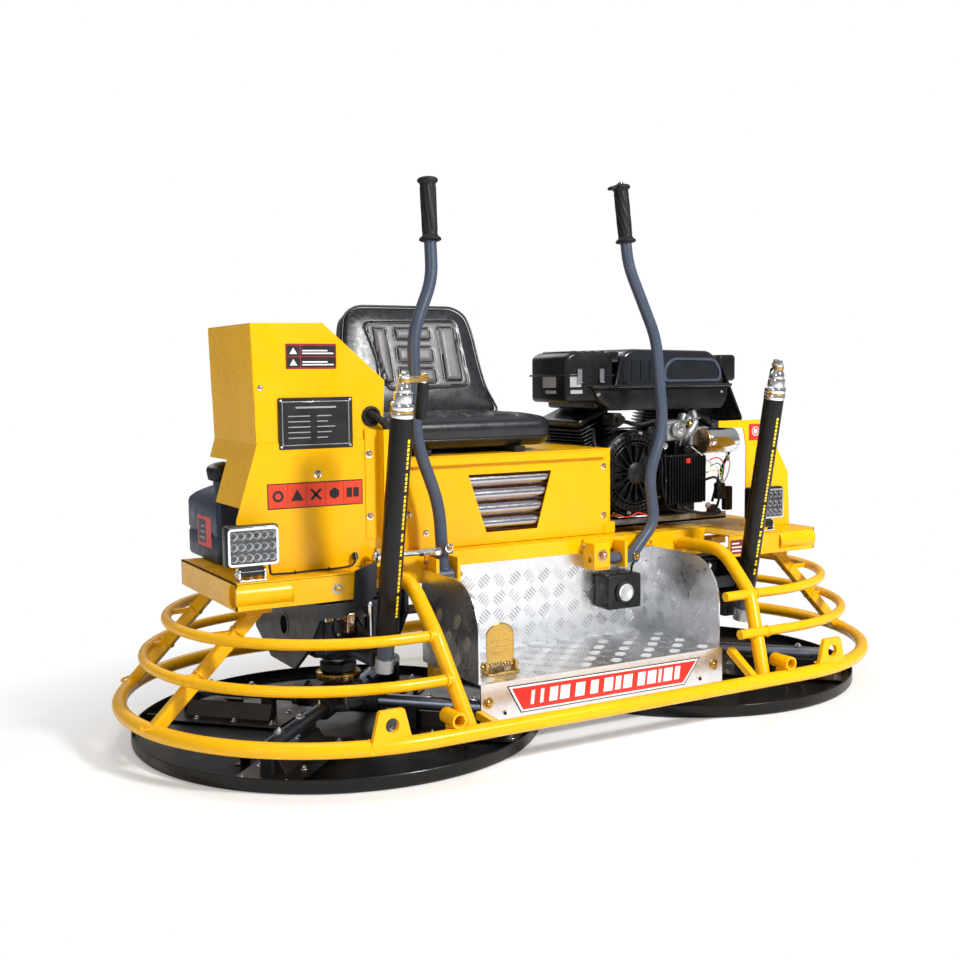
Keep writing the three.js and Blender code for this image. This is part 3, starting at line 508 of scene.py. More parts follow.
def keep_node(name, material, width=1.2):
    """A CAD node whose shape is right: it gets a material and round edges."""
    node = NODES[name]
    node.data.materials.clear()
    node.data.materials.append(material)
    weld = node.modifiers.new("join_corners", "WELD")
    weld.merge_threshold = 0.01 * MM
    soften(node, width, 30)


def mirrored(s, x0, x1):
    """A span of X on one side of the machine, lowest first."""
    return (x0, x1) if s > 0 else (-x1, -x0)


# ---- work-light lead ---------------------------------------------------------------------------
LEAD_ROUTE = [(-761, -172, 493), (-757, -160, 496), (-749, -150, 492), (-741, -148, 474),
              (-738, -152, 450), (-737, -158, 426), (-735, -160, 415), (-715, -160, 413.5),
              (-680, -163, 413.2), (-640, -160, 413.8), (-600, -162, 413.5), (-570, -160, 414),
              (-545, -158, 416), (-534, -153, 422), (-530, -150, 428)]


def light_lead():
    line = flowing(LEAD_ROUTE, 6)
    p = Piece("work_light_lead", RUBBER)
    p.tube(line, 2.5, 12)
    lead = p.done(None, ["light_lead"], bevel=0)
    length = sum((b - a).length for a, b in zip(line, line[1:])) * MM
    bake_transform(lead)
    clips = Piece("lead_clips", PLASTIC)
    for x in (-680, -600):
        clips.torus((x, -161, 413.5), (1, 0, 0), 4, 1.4, 20)
    clips.lathe([(5, 0), (7, 1), (6, 14), (4, 16)], (-530, -150, 428), (0, 0.3, 1), 20)
    clips.done("chassis", bevel=0)


light_lead()


# ---- floor and light ---------------------------------------------------------------------------
FLOOR_SIZE, FADE_START, FADE_END = 60, 0.95, 1.75  # metres, the last two from the middle
PLAIN_WHITE = (1, 1, 1, 1)
LIGHTS = (  # name, place, side and watts
    ("key", (1.2, -3.9, 3.4), 0.6, 245),
    ("fill", (-4.0, -2.6, 1.8), 1.6, 22),
    ("rim", (0.6, 4.2, 3.4), 2.6, 45),
    ("top", (-0.6, 0.3, 4.6), 1.6, 34),
)
LIT_POINT = Vector((0, 0, 0.45))


def fade_to_white(look):
    """Away from the machine the floor runs into a plain white background."""
    nodes, links = look.nodes, look.links
    reach = add_node(nodes, "VectorMath")
    reach.operation = "LENGTH"
    links.new(look.stretched((1, 1.5, 1)), reach.inputs[0])
    seen = add_node(nodes, "Math")
    seen.operation = "MULTIPLY"
    links.new(look.ramp(reach.outputs["Value"], 0.25, 1, FADE_START, FADE_END), seen.inputs[0])
    links.new(add_node(nodes, "LightPath").outputs["Is Camera Ray"], seen.inputs[1])
    white = add_node(nodes, "Emission", Color=PLAIN_WHITE)
    mix = add_node(nodes, "MixShader")
    links.new(seen.outputs["Value"], mix.inputs["Fac"])
    links.new(look.shader.outputs["BSDF"], mix.inputs[1])
    links.new(white.outputs["Emission"], mix.inputs[2])
    links.new(mix.outputs["Shader"], nodes["Material Output"].inputs["Surface"])


def add_floor():
    bpy.ops.mesh.primitive_plane_add(size=FLOOR_SIZE)
    floor = bpy.context.object
    floor.name = "floor"
    look = Look("floor", (0.97, 0.97, 0.97), 0.7, Specular_IOR_Level=0.1)
    look.rough(look.noise(2), 0.05)
    fade_to_white(look)
    floor.data.materials.append(look.material)


def add_world():
    """A light from all round, brighter from above; the camera sees plain white."""
    world = bpy.data.worlds.new("studio")
    bpy.context.scene.world = world
    world.use_nodes = True
    nodes, links = world.node_tree.nodes, world.node_tree.links
    around = nodes["Background"]
    around.inputs["Color"].default_value = PLAIN_WHITE
    split = add_node(nodes, "SeparateXYZ")
    links.new(add_node(nodes, "TexCoord").outputs["Generated"], split.inputs["Vector"])
    height = add_node(nodes, "MapRange", From_Min=-0.1, From_Max=0.9, To_Min=0.2, To_Max=0.42)
    links.new(split.outputs["Z"], height.inputs["Value"])
    links.new(height.outputs["Result"], around.inputs["Strength"])
    seen = add_node(nodes, "Background", Color=PLAIN_WHITE, Strength=1.0)
    mix = add_node(nodes, "MixShader")
    links.new(add_node(nodes, "LightPath").outputs["Is Camera Ray"], mix.inputs["Fac"])
    links.new(around.outputs["Background"], mix.inputs[1])
    links.new(seen.outputs["Background"], mix.inputs[2])
    links.new(mix.outputs["Shader"], nodes["World Output"].inputs["Surface"])


def add_lights():
    for name, at, size, power in LIGHTS:
        data = bpy.data.lights.new(name, "AREA")
        data.size = size
        data.energy = power
        lamp = bpy.data.objects.new(name, data)
        lamp.location = at
        lamp.rotation_euler = (LIT_POINT - Vector(at)).to_track_quat("-Z", "Y").to_euler()
        bpy.context.scene.collection.objects.link(lamp)


bpy.context.scene.view_settings.view_transform = "Standard"
add_floor()
add_world()
add_lights()


# ---- guards ------------------------------------------------------------------------------------
def rail_line(s, r, z, inner, rear):
    """The line of a rail, from its inner end in front, round the rotor, to its end behind."""
    ends = [(s * inner, -r, z)]
    ends += [(s * (ROTOR_X + x), y, z) for x, y in arc(0, 0, r, -90, 90, 40)]
    return ends + [(s * rear, r, z)]


def lower_ring():
    p = Piece("lower_guard_ring", YELLOW)
    line = [(ROTOR_X + x, y, RING_Z) for x, y in arc(0, 0, RING_R, -90, 90, 48)]
    line += [(-ROTOR_X + x, y, RING_Z) for x, y in arc(0, 0, RING_R, 90, 270, 48)]
    p.tube(line, RING_TUBE, 24, looped=True)
    for _, s in SIDES:
        x = s * 612
        eye = arc(x, 144, 15, 0, 345, 23)
        outline = [(x - 50, 90), (x + 50, 90), (x + 29, 172), (x + 25, 176), (x - 25, 176), (x - 29, 172)]
        p.prism(outline, 3 - RING_R, 15 - RING_R, holes=[eye])
        p.sleeve((s * 463, 53 - RING_R, 132), (s * 463, -7 - RING_R, 132), 17, 12)
        p.block(s * 463 - 12, s * 463 + 12, -3 - RING_R, 35 - RING_R, 104, 120)
        p.beam((s * 358, -RING_R, RING_Z), (s * 358, WELL_KICK - 14, 104 if s < 0 else 160), 18)
        p.torus((s * 463, 20 - RING_R, 117), (0, 0, 1), 15, 3, 24, 0.3)
    for _, s in SIDES:
        for k in range(14):
            x = s * 612 - 46 + 7 * k
            p.ball((x, 17 - RING_R - random.uniform(0, 1), 117), 3.2, 0.9, (1, 0, 0.1), 8)
    p.done("chassis", ["guard_lower_ring"], bevel=1.0)


def guard_cage(name, s):
    p = Piece(f"{name}_guard_rails", YELLOW)
    for r, z in RAILS:
        p.tube(rail_line(s, r, z, RAIL_END[name], HOOP_X[name] - 12), RAIL_TUBE, 16)
    x = s * HOOP_X[name]
    for f, root in ((-1, BEAM_FRONT - 0.5), (1, BEAM_REAR + 0.5)):
        hoop = [(x, root, 388), (x, f * 290, 388, 45), (x - s * 3, f * 396, 290, 30),
                (x - s * 37, f * 484, RING_Z)]
        p.tube(bent(hoop), RING_TUBE, 20)
        p.torus((x, root + f * 2, 388), (0, 1, 0), 17, 3.2, 40, 0.25)
        for (r, z), d in zip(RAILS, (2, 14)):
            p.torus((x + s * d, f * r, z), (1, 0, 0), 12.5, 2.6, 28, 0.3)
    top_z = TRAY_Z0 - 14.3
    for top, foot in STRUTS:
        a, b = Vector((s * top[0], top[1], top_z)), Vector((s * foot[0], foot[1], RING_Z + 4))
        p.beam(a, b, 28)
        p.block(*mirrored(s, top[0] - 30, top[0] + 25), top[1] - 20, top[1] + 20, 330, 349.6)
        for r, z in RAILS:
            lug = a.lerp(b, (top_z - z) / (top_z - RING_Z))
            p.beam((lug.x, lug.y, z), (s * (ROTOR_X + math.sqrt(r * r - lug.y ** 2) - 2), lug.y, z), 12)
            p.torus((lug.x, lug.y, z + 2), b - a, 17, 2.6, 28, 0.3)
        for k in range(18):
            t = math.radians(20 * k)
            around = Vector((s * (12 + 16 * math.cos(t)), 16 * math.sin(t), 8 - 4 * math.cos(t)))
            p.ball(b + around, 3.2, 1, sides=8)
    p.done("chassis", [f"{name}_guard_cage"], bevel=1.0)


def side_tray(name, s):
    p = Piece(f"{name}_side_tray", YELLOW)
    x0, x1 = mirrored(s, TRAY_X0, TRAY_X1)
    y0, y1, z0, z1 = TRAY_Y0, TRAY_Y1, TRAY_Z0, TRAY_Z1
    socket_y, socket_z = y0 + 22, 380
    p.block(x0, x1, y0, y1, z1 - 4, z1)
    p.block(x0, x1, y0, y0 + 4, z0, z1 - 2)
    p.block(x0, x1, y1 - 4, y1, z0, z1 - 2)
    mouth = arc(socket_y, socket_z, 24.5, 0, 350, 35)
    end = mirrored(s, TRAY_X1 - 4, TRAY_X1)
    p.prism([(y0, z0), (y1, z0), (y1, z1), (y0, z1)], *end, "yz", holes=[mouth])
    p.sleeve((s * 708, socket_y, socket_z), (s * TRAY_X1, socket_y, socket_z), 29.5, 24.5, 40)
    p.torus((s * 708, socket_y, socket_z), (1, 0, 0), 29, 2.6, 40, 0.25)
    p.use(GOLD)
    p.bolt((s * 604, y0, 377), (0, -1, 0), 7.5, GOLD, STEEL)
    p.bolt((s * 604, y1, 377), (0, 1, 0), 7.5, GOLD, STEEL)
    p.done("chassis", [f"{name}_tray"], bevel=1.4)


lower_ring()
for side_name, side in SIDES:
    guard_cage(side_name, side)
    side_tray(side_name, side)


# ---- bodywork that keeps its CAD shape ---------------------------------------------------------
for node_name in ("main_frame", "seat_box", "left_cabinet", "right_guard_panel", "left_lever_bracket",
                  "right_lever_bracket"):
    keep_node(node_name, YELLOW)
for node_name in ("left_gearbox_hanger", "right_gearbox_hanger", "right_gearbox_cradle"):
    keep_node(node_name, DARK_SLATE)
keep_node("foot_well", ALUMINIUM, 0.8)
keep_node("right_lever_yoke", SLATE)
keep_node("pedal_base", GOLD, 0.6)
keep_node("seat_rails", CASTING)
keep_node("transfer_gearbox", CASTING, 3)
keep_node("left_drive_shaft", STEEL)
keep_node("right_drive_shaft", STEEL)


def decal(p, material, x0, x1, z0, z1, y, thick=0.35, r=2):
    """A thin plate with round corners, standing out of a front face."""
    return p.use(material).prism(rounded(x0, z0, x1, z1, r, 4), y - thick, y)


def cabinet_details():
    p = Piece("cabinet_fittings", YELLOW)
    top, seam = 958, 802
    lean = 8 / 271  # the end sheet leans in by 8 mm over its height
    cap = []
    for z in (seam, top):
        x = -760 + (961 - z) * lean
        cap.append([(x - 1.6, -133, z), (x + 1, -133, z), (x + 1, 163, z), (x - 1.6, 163, z)])
    p.rings(cap)
    p.block(-452, -402.5, -139.6, -138, 420.5, 682)
    p.block(-497, -450, -140, WING_Y + 0.2, 470, 724)
    for x0, x1, y0, y1 in ((-462, -458, -164, -138), (-432, -428, -164, -136), (-462, -428, -166, -162)):
        p.block(x0, x1, y0, y1, 468, 722)
    p.use(COPPER)
    for x, z, y in ((-741, 821, SHEET_Y), (-487, 666, -140), (-487, 523, -140), (-613, 627, WING_Y)):
        p.bolt((x, y, z), (0, -1, 0), 4.2 if z > 800 else 6, COPPER, CHROME)
    p.use(RUBBER)
    p.torus((-478, SHEET_Y - 1, 752), (0, 1, 0), 19, 5, 36)
    p.use(INK).prism(arc(-478, 752, 17, 0, 345, 23), SHEET_Y - 1, SHEET_Y - 0.1)
    p.use(RUBBER)
    p.tube(flowing([(-486, -128, 760), (-480, -144, 757), (-466, -154, 746), (-450, -154, 728),
                    (-445, -150, 690), (-445, -150, 600)], 6), 8.5, 14)
    for k in range(6):
        p.torus((-445, -150, 712 - 4 * k), (0, 0, 1), 8.5, 1.6, 20)
    p.done("chassis", bevel=0.8)


def data_plate():
    p = Piece("data_plate", INK)
    x0, x1, z0, z1, y = -702, -526, 684, 798, WING_Y
    decal(p, INK, x0, x1, z0, z1, SHEET_Y, 4.2, 3)
    border = rounded(x0 + 8, z0 + 8, x1 - 8, z1 - 8, 2, 3)
    inner = rounded(x0 + 10, z0 + 10, x1 - 10, z1 - 10, 1.5, 3)
    p.use(STEEL).prism(border, y - 1.5, y - 1.1, holes=[inner])
    for i in range(5):
        z = z0 + 24 + 12 * i
        for start, width in ((x0 + 22, 52), (x0 + 90, 26 + 9 * (i % 3))):
            decal(p, GREY, start, start + width, z, z + 2.2, y - 1.1, 0.3, 0.6)
    decal(p, GREY, x0 + 40, x1 - 40, z1 - 24, z1 - 20, y - 1.1, 0.3, 0.8)
    p.use(CHROME)
    for x in (x0 + 6, x1 - 6):
        for z in (z0 + 6, z1 - 6):
            p.ball((x, y - 1, z), 3.4, 0.6, (0, 1, 0), 16)
    p.done("chassis", bevel=0.2)


def pictogram_strip():
    """An orange strip of five framed cells, each with a plain geometric mark."""
    p = Piece("marking_strip", INK)
    x0, x1, z0, z1, y = -732, -504, 553, 610, WING_Y
    decal(p, INK, x0, x1, z0, z1, y, 0.4, 2)
    decal(p, ORANGE, x0 + 2.5, x1 - 2.5, z0 + 2.5, z1 - 2.5, y - 0.35, 0.3, 1)
    pitch = (x1 - x0 - 5) / 5
    middle = (z0 + z1) / 2
    face = y - 0.6
    for i in range(1, 5):
        x = x0 + 2.5 + pitch * i
        decal(p, DARK_RED, x - 0.6, x + 0.6, z0 + 4, z1 - 4, face, 0.2, 0.3)
    centres = [x0 + 2.5 + pitch * (i + 0.5) for i in range(5)]
    p.use(INK)
    p.prism(arc(centres[0], middle, 13, 0, 345, 23), face - 0.25, face,
            holes=[arc(centres[0], middle, 7, 0, 340, 17)])
    p.prism([(centres[1] - 15, middle - 12), (centres[1] + 15, middle - 12), (centres[1], middle + 14)],
            face - 0.25, face)
    for turn in (45, -45):
        spin = Matrix.Translation((centres[2], face, middle)) @ Matrix.Rotation(math.radians(turn), 4, "Y")
        p.block(-17, 17, -0.25, 0, -3, 3, spin)
    p.prism(arc(centres[3], middle, 13, 90, 390, 5), face - 0.25, face)
    decal(p, INK, centres[4] - 15, centres[4] - 1.5, middle - 11, middle + 11, face, 0.25, 1)
    decal(p, INK, centres[4] + 1.5, centres[4] + 15, middle - 11, middle + 11, face, 0.25, 1)
    p.done("chassis", bevel=0)


def small_markings():
    p = Piece("small_markings", DARK_RED)
    decal(p, DARK_RED, -681, -561, 861, 917, SHEET_Y, 0.4, 2)
    for z in (865, 890):
        decal(p, INK, -678, -648, z, z + 22, SHEET_Y - 0.3, 0.3, 1)
        decal(p, INK, -645, -564, z, z + 22, SHEET_Y - 0.3, 0.3, 1)
        for k in (0, 1):
            decal(p, WHITE, -642, -568 - 14 * k, z + 4 + 6 * k, z + 7 + 6 * k, SHEET_Y - 0.5, 0.2, 0.5)
        p.use(WHITE).prism([(-672, z + 4), (-654, z + 4), (-663, z + 18)], SHEET_Y - 0.8, SHEET_Y - 0.5)
    decal(p, RED, 664, 712, 655, 700, SHEET_Y, 0.4, 2)
    p.use(WHITE).prism(arc(688, 680, 13, 0, 345, 23), SHEET_Y - 0.7, SHEET_Y - 0.3)
    p.use(RED).prism(arc(688, 680, 11, 0, 345, 23), SHEET_Y - 0.9, SHEET_Y - 0.6,
                     holes=[arc(688, 680, 7, 0, 340, 17)])
    decal(p, DARK_RED, 530, 584, 358, 396, TRAY_Y0, 0.4, 2)
    for k in range(3):
        decal(p, WHITE, 535, 579 - 9 * k, 364 + 10 * k, 368 + 10 * k, TRAY_Y0 - 0.3, 0.25, 0.5)
    p.done("chassis", bevel=0)


def seat_box_details():
    p = Piece("seat_box_fittings", COPPER)
    for x, z in ((-351, 510), (-303, 461), (226, 470), (226, 600)):
        p.bolt((x, -60, z), (0, -1, 0), 5.5, COPPER, CHROME)
    p.use(INK)
    for x in (-330, -235, -110, 20, 120):
        p.ball((x, -66, 636), 3, 0.5, (0, 1, 0), 12)
    p.use(YELLOW)
    p.block(228, 262, -62, 200, 420.6, 450)
    p.block(-397.5, 227.5, -76, -60, 645.2, 648.2)
    for k in range(6):
        p.prism([(324, 470 + 22 * k), (336, 476 + 22 * k), (330, 484 + 22 * k)], -260, 120, "yz")
    p.done("chassis", bevel=1.0)
    q = Piece("window_pipes", PIPES)
    for i in range(4):
        z = 469 + 37 * i
        q.rod((-201, -36, z), (86, -36, z), 16.8, sides=40)
    for x in (-204, 81):
        q.block(x, x + 8, -46, -26, 440, 600)
    q.done("chassis", ["seat_box_window_pipes"], bevel=0.6)


def tread_bars(p, spot, across, up, normal, width, height, pitch=44):
    """Five-bar tread: small ridges in groups that turn a quarter from each cell to the next."""
    columns, rows = int(width / pitch), int(height / pitch)
    margin_u, margin_v = (width - columns * pitch) / 2, (height - rows * pitch) / 2
    for i in range(columns):
        for j in range(rows):
            angle = math.radians(45 if (i + j) % 2 else -45)
            along = across * math.cos(angle) + up * math.sin(angle)
            beside = across * -math.sin(angle) + up * math.cos(angle)
            centre = spot + across * (margin_u + pitch * (i + 0.5)) + up * (margin_v + pitch * (j + 0.5))
            for k in (-2, -1, 0, 1, 2):
                middle = centre + beside * (k * 7.6)
                half = 17 - 2.2 * abs(k)
                foot = [middle + along * (half * a) + beside * (1.9 * b) - normal * 0.2
                        for a, b in ((-1, 0), (-0.55, -1), (0.55, -1), (1, 0), (0.55, 1), (-0.55, 1))]
                crest = [middle + along * (half * a) + normal * 1.3 for a in (-0.6, 0.6)]
                faces = [(0, 1, 6), (1, 2, 7, 6), (2, 3, 7), (3, 4, 7), (4, 5, 6, 7), (5, 0, 6),
                         (5, 4, 3, 2, 1, 0)]
                p.add([*foot, *crest], faces)


def foot_well_tread():
    p = Piece("foot_well_tread", RIDGES)
    x, y, z = (Vector(v) for v in ((1, 0, 0), (0, 1, 0), (0, 0, 1)))
    tread_bars(p, Vector((-WELL_X + 4, WELL_WALL, WELL_FLOOR)), x, z, -y, 2 * WELL_X - 8, 216)
    tread_bars(p, Vector((-WELL_X + 4, WELL_KICK + 6, WELL_FLOOR)), x, y, z, 2 * WELL_X - 8, 270)
    for _, s in SIDES:
        for face in (-1, 1):
            at = s * (WELL_X - (4 if face < 0 else 0))
            tread_bars(p, Vector((at, -372, WELL_FLOOR + 4)), y, z, x * (s * face), 250, 150)
            tread_bars(p, Vector((at, -300, WELL_FLOOR + 152)), y, z, x * (s * face), 180, 40)
    p.done("chassis", bevel=0, sharp=60)


def kick_plate_details():
    p = Piece("kick_plate_fittings", INK)
    y = WELL_KICK
    wing = [(-279, 153), (273, 149), (226, 87), (-243, 88)]
    p.prism(wing, y - 0.5, y + 0.1)
    p.use(WHITE).prism([(-274, 150.5), (268, 146.8), (224, 89.5), (-241, 90.5)], y - 0.8, y - 0.4)
    p.use(RED).prism([(-266, 146), (260, 142.5), (220, 93.5), (-237, 94.5)], y - 1.1, y - 0.7)
    p.use(WHITE)
    x = -218
    while x < 196:
        wide = random.choice((9, 16, 22, 26))
        p.prism([(x, 104), (x + wide, 104), (x + wide + 4, 136), (x + 4, 136)], y - 1.4, y - 1.0)
        x += wide + random.choice((7, 7, 16))
    p.use(GOLD)
    for x, z in ((-327, 122), (317, 124)):
        p.lathe([(13, 0), (13, 1.6), (11, 2.4)], (x, y, z), (0, -1, 0), 28)
        p.ball((x, y - 1.5, z), 8.5, 0.62, (0, 1, 0), 24)
    p.use(CHROME)
    for x, z in ((-285, 94), (273, 95)):
        p.bolt((x, y, z), (0, -1, 0), 4.4, CASTING, CHROME)
    p.use(STEEL)
    for x, z in ((-320, 350), (-320, 210), (320, 350)):
        p.ball((x, WELL_WALL, z), 4.5, 0.5, (0, 1, 0), 16)
    p.done("chassis", bevel=0)


cabinet_details()
data_plate()
pictogram_strip()
small_markings()
seat_box_details()
foot_well_tread()
kick_plate_details()


# ---- control levers ----------------------------------------------------------------------------
LEVER_PLACE = Matrix.Translation((0, LEVER_Y, LEVER_Z)) @ Matrix.Rotation(math.radians(-LEVER_LEAN), 4, "X")
LEVER_LINES = {
    "left": [(-290, 0, LEVER_TOP["left"]), (-292, 0, 705, 40), (-350, 0, 575, 45), (-357, 0, 320, 55),
             (-306, 0, 170, 50), (-303, 0, 0)],
    "right": [(277, 0, LEVER_TOP["right"]), (288, 0, 758, 40), (368, 0, 566, 45), (376, 0, 330, 50),
              (320, 0, 205, 45), (332, 0, 84, 36), (FORK_X + 4, 0, 5)],
}


def left_lever():
    p = Piece("left_lever_tube", SLATE, LEVER_PLACE)
    p.tube(bent(LEVER_LINES["left"], 12), LEVER_R, 24)
    p.rod((-324, 0, 0), (-282, 0, 0), 17.5, sides=32)
    p.torus((-303, 0, 15), (0, 0, 1), 15, 3, 32, 0.3)
    p.prism(rounded(-316, 52, -290, 76, 5), -30, -8, "xz")
    p.use(STEEL).rod((-339, 0, 0), (-262, 0, 0), 8)
    p.use(GOLD).bolt((-262, 0, 0), (1, 0, 0), 7)
    p.done("left_lever", ["left_lever"])


def right_lever():
    p = Piece("right_lever_tube", SLATE, LEVER_PLACE)
    p.tube(bent(LEVER_LINES["right"], 12), LEVER_R, 24)
    p.rod((FORK_X, -10.5, 0), (FORK_X, 10.5, 0), 17, sides=32)
    p.use(STEEL).rod((FORK_X, -24, 0), (FORK_X, 24, 0), 7)
    p.use(GOLD)
    p.bolt((FORK_X, -23, 0), (0, -1, 0), 6.5)
    p.bolt((FORK_X, 23, 0), (0, 1, 0), 6.5)
    p.done("right_lever", ["right_lever"])


def grip(name, body, at, lean, twist):
    """A moulded grip: a flange at each end and a body of slanting ribs."""
    place = LEVER_PLACE @ Matrix.Translation(at) @ Matrix.Rotation(math.radians(lean), 4, "Y")
    p = Piece(f"{name}_grip_rubber", RUBBER, place)
    sides, rings = 72, []
    profile = [(16.2, 0), (23, 0), (26, 1.5), (27, 4), (25.5, 7), (20.5, 11), (18.4, 16)]
    profile += [(18.2 + 0.6 * i / 40, 20 + 112 * i / 40) for i in range(41)]
    profile += [(20, 137), (24, 140), (25, 142.5), (24.5, 146), (21, 149), (14, 151), (0.5, 151.6)]
    for r, z in profile:
        ring = []
        ribbed = 20 <= z <= 132
        for k in range(sides):
            a = math.tau * k / sides
            rib = 0
            if ribbed:
                fade = min(1, (z - 20) / 6, (132 - z) / 6)
                rib = fade * (1.0 * max(-0.4, math.cos(12 * a + twist * z * 0.05)) + 0.5 * math.cos(z * 1.1))
            ring.append(((r + rib) * math.cos(a), (r + rib) * math.sin(a), z))
        rings.append(ring)
    p.rings(rings)
    p.done(body, [f"{name}_grip"], bevel=0, sharp=60)
    return place


def grip_tops(place):
    p = Piece("right_grip_thumb_switch", PLASTIC, place)
    p.soft_block(-36, 4, -11, 11, 137, 146, 3)
    p.rod((0, 0, 146), (0, 0, 154), 11, 9.5, 28)
    p.done("right_lever", bevel=0.5)
    q = Piece("thumb_button", CHROME, place)
    q.lathe([(6.8, 150), (6.8, 156), (6.2, 157.4), (4.5, 158.2), (0, 158.4)], sides=32)
    q.done("grip_button", ["grip_button"], bevel=0)


def link_rod():
    p = Piece("link_rod", CHROME)
    y, z = LEVER_Y - 22, 434
    p.rod((-470, y, z), (-348, y, z), 6.5, sides=24)
    for x, way in ((-486, 1), (-334, -1)):
        p.use(CHROME)
        p.lathe([(6.2, -9), (12.5, -9), (13.5, -6), (13.5, 6), (12.5, 9), (6.2, 9)],
                (x, y, z), (0, 0, 1), 28, True)
        p.rod((x + way * 10, y, z), (x + way * 36, y, z), 8.5, 8.5, 6)
        p.rod((x + way * 34, y, z), (x + way * 46, y, z), 10, 10, 6)
    p.done("left_link", ["left_link_rod"], bevel=0.6)
    q = Piece("link_pivot_bolts", GOLD)
    q.bolt((-486, y, z + 11), (0, 0, 1), 8, GOLD, CHROME)
    q.sleeve((-486, y, 420.5), (-486, y, 424.4), 12, 5.5)
    q.done("chassis")
    r = Piece("lever_lug_bolt", GOLD)
    r.bolt((-303, y - 6, z + 5), (0, -1, 0), 7, GOLD, CHROME)
    r.done("left_lever")


def bracket_bolts():
    p = Piece("lever_bracket_bolts", COPPER)
    for x, way in ((-335, -1), (-270, 1), (118, -1), (220, 1)):
        p.bolt((x, LEVER_Y + 22, 402), (way, 0, 0), 6, COPPER, CHROME)
    for x in (304, 334):
        p.bolt((x, BEAM_FRONT - 8, 397), (0, -1, 0), 3, GOLD, GOLD)
    p.use(YELLOW).soft_block(112, 162, -180, -174.3, 352, 416, 2.5)
    p.use(COPPER).bolt((137, -180, 384), (0, -1, 0), 10, COPPER, COPPER)
    p.done("chassis")


left_lever()
right_lever()
grip("left", "left_lever", (-291.2, 0, LEVER_TOP["left"] - 140.5), 0.5, 1.0)
grip_tops(grip("right", "right_lever", (284.8, 0, LEVER_TOP["right"] - 140.5), -3.2, 3.0))
link_rod()
bracket_bolts()


# ---- pitch columns -----------------------------------------------------------------------------
def column_place(s):
    """The frame of a pitch column: its foot at the origin, its axis along +Z."""
    return Matrix.Translation((s * COLUMN_X, *COLUMN_LOW)) @ Matrix.Rotation(COLUMN_LEAN, 4, "X")


def pitch_column(name, s):
    l = COLUMN_LENGTH[name]
    p = Piece(f"{name}_column", SLEEVE, column_place(s))
    wall = [(19.2, 78), (24.2, 78), (24.8, 80), (25, 300), (25, l - 62), (24.6, l - 60), (19, l - 60)]
    p.lathe(wall, sides=40)
    p.use(SLATE).lathe([(19, 0), (19, l - 60)], sides=36)
    p.use(STEEL).lathe([(15, -6), (22, -6), (22, 24), (19, 26)], sides=36)
    p.use(CHROME)
    p.lathe([(20, l - 62), (25.6, l - 60), (26, l - 56), (26, l - 48), (24.5, l - 46), (26, l - 44),
             (26, l - 32), (24, l - 29), (21, l - 28), (21, l - 12), (20, l - 8)], sides=40)
    p.use(GOLD).lathe([(25.8, l - 49), (26.4, l - 48), (26.4, l - 44), (25.8, l - 43)], sides=40)
    p.use(STRIPE)
    turn = Matrix.Rotation(math.radians(-70 if s < 0 else -92), 4, "Z")
    z = l - 104
    while z > 130:
        size = random.choice((5, 7, 8.5))
        rings = [[(25.3 * math.cos(a), 25.3 * math.sin(a), h) for a in (-0.13, 0, 0.13)]
                 + [(24.6 * math.cos(a), 24.6 * math.sin(a), h) for a in (0.13, -0.13)]
                 for h in (z - size, z)]
        p.rings(rings, turn)
        z -= size + random.choice((2.4, 2.4, 2.4, 9))
    p.done(f"{name}_gearbox", [f"{name}_pitch_column"], bevel=0.4)


def pitch_crank(name, s):
    turn = 0.2 if s < 0 else 0.95
    top = Matrix.Translation((0, 0, COLUMN_LENGTH[name] - 7.7))
    place = column_place(s) @ top @ Matrix.Rotation(turn, 4, "Z")
    p = Piece(f"{name}_crank", CHROME, place)
    p.lathe([(16.8, 0.2), (17, 2), (17, 12), (15.5, 14.5), (12.5, 20), (12, 22)], sides=36)
    p.lathe([(9.5, 34), (9.5, 42), (8, 45)], sides=6)
    p.lathe([(12, 30), (12, 35), (10.5, 36)], sides=32)
    p.use(GOLD)
    arm = arc(0, 0, 13, 60, 300, 14) + arc(50, 0, 11, -60, 60, 8)
    p.prism(arm, 22, 31, "xy")
    p.use(CHROME).rod((50, 0, 18), (50, 0, 40), 7)
    p.use(GOLD).lathe([(8.5, 30), (8.5, 37), (7, 39)], (50, 0, 0), (0, 0, 1), 6)
    p.use(RUBBER)
    p.lathe([(8, -61), (11.5, -60), (12.6, -56), (12.2, -40), (12.8, -20), (12.4, 4), (12.8, 12),
             (11.5, 17), (8, 18)], (50, 0, 0), (0, 0, 1), 32)
    for k in range(7):
        p.torus((50, 0, -48 + 9 * k), (0, 0, 1), 12.2, 0.8, 28)
    p.done(f"{name}_crank", [f"{name}_pitch_crank"], bevel=0.5)


for side_name, side in SIDES:
    pitch_column(side_name, side)
    pitch_crank(side_name, side)


# ---- work lights -------------------------------------------------------------------------------
LAMP_X = {"left": -791, "right": 668}
LAMP_Y, LAMP_Z, LAMP_W, LAMP_H = -190, 427, 118, 88


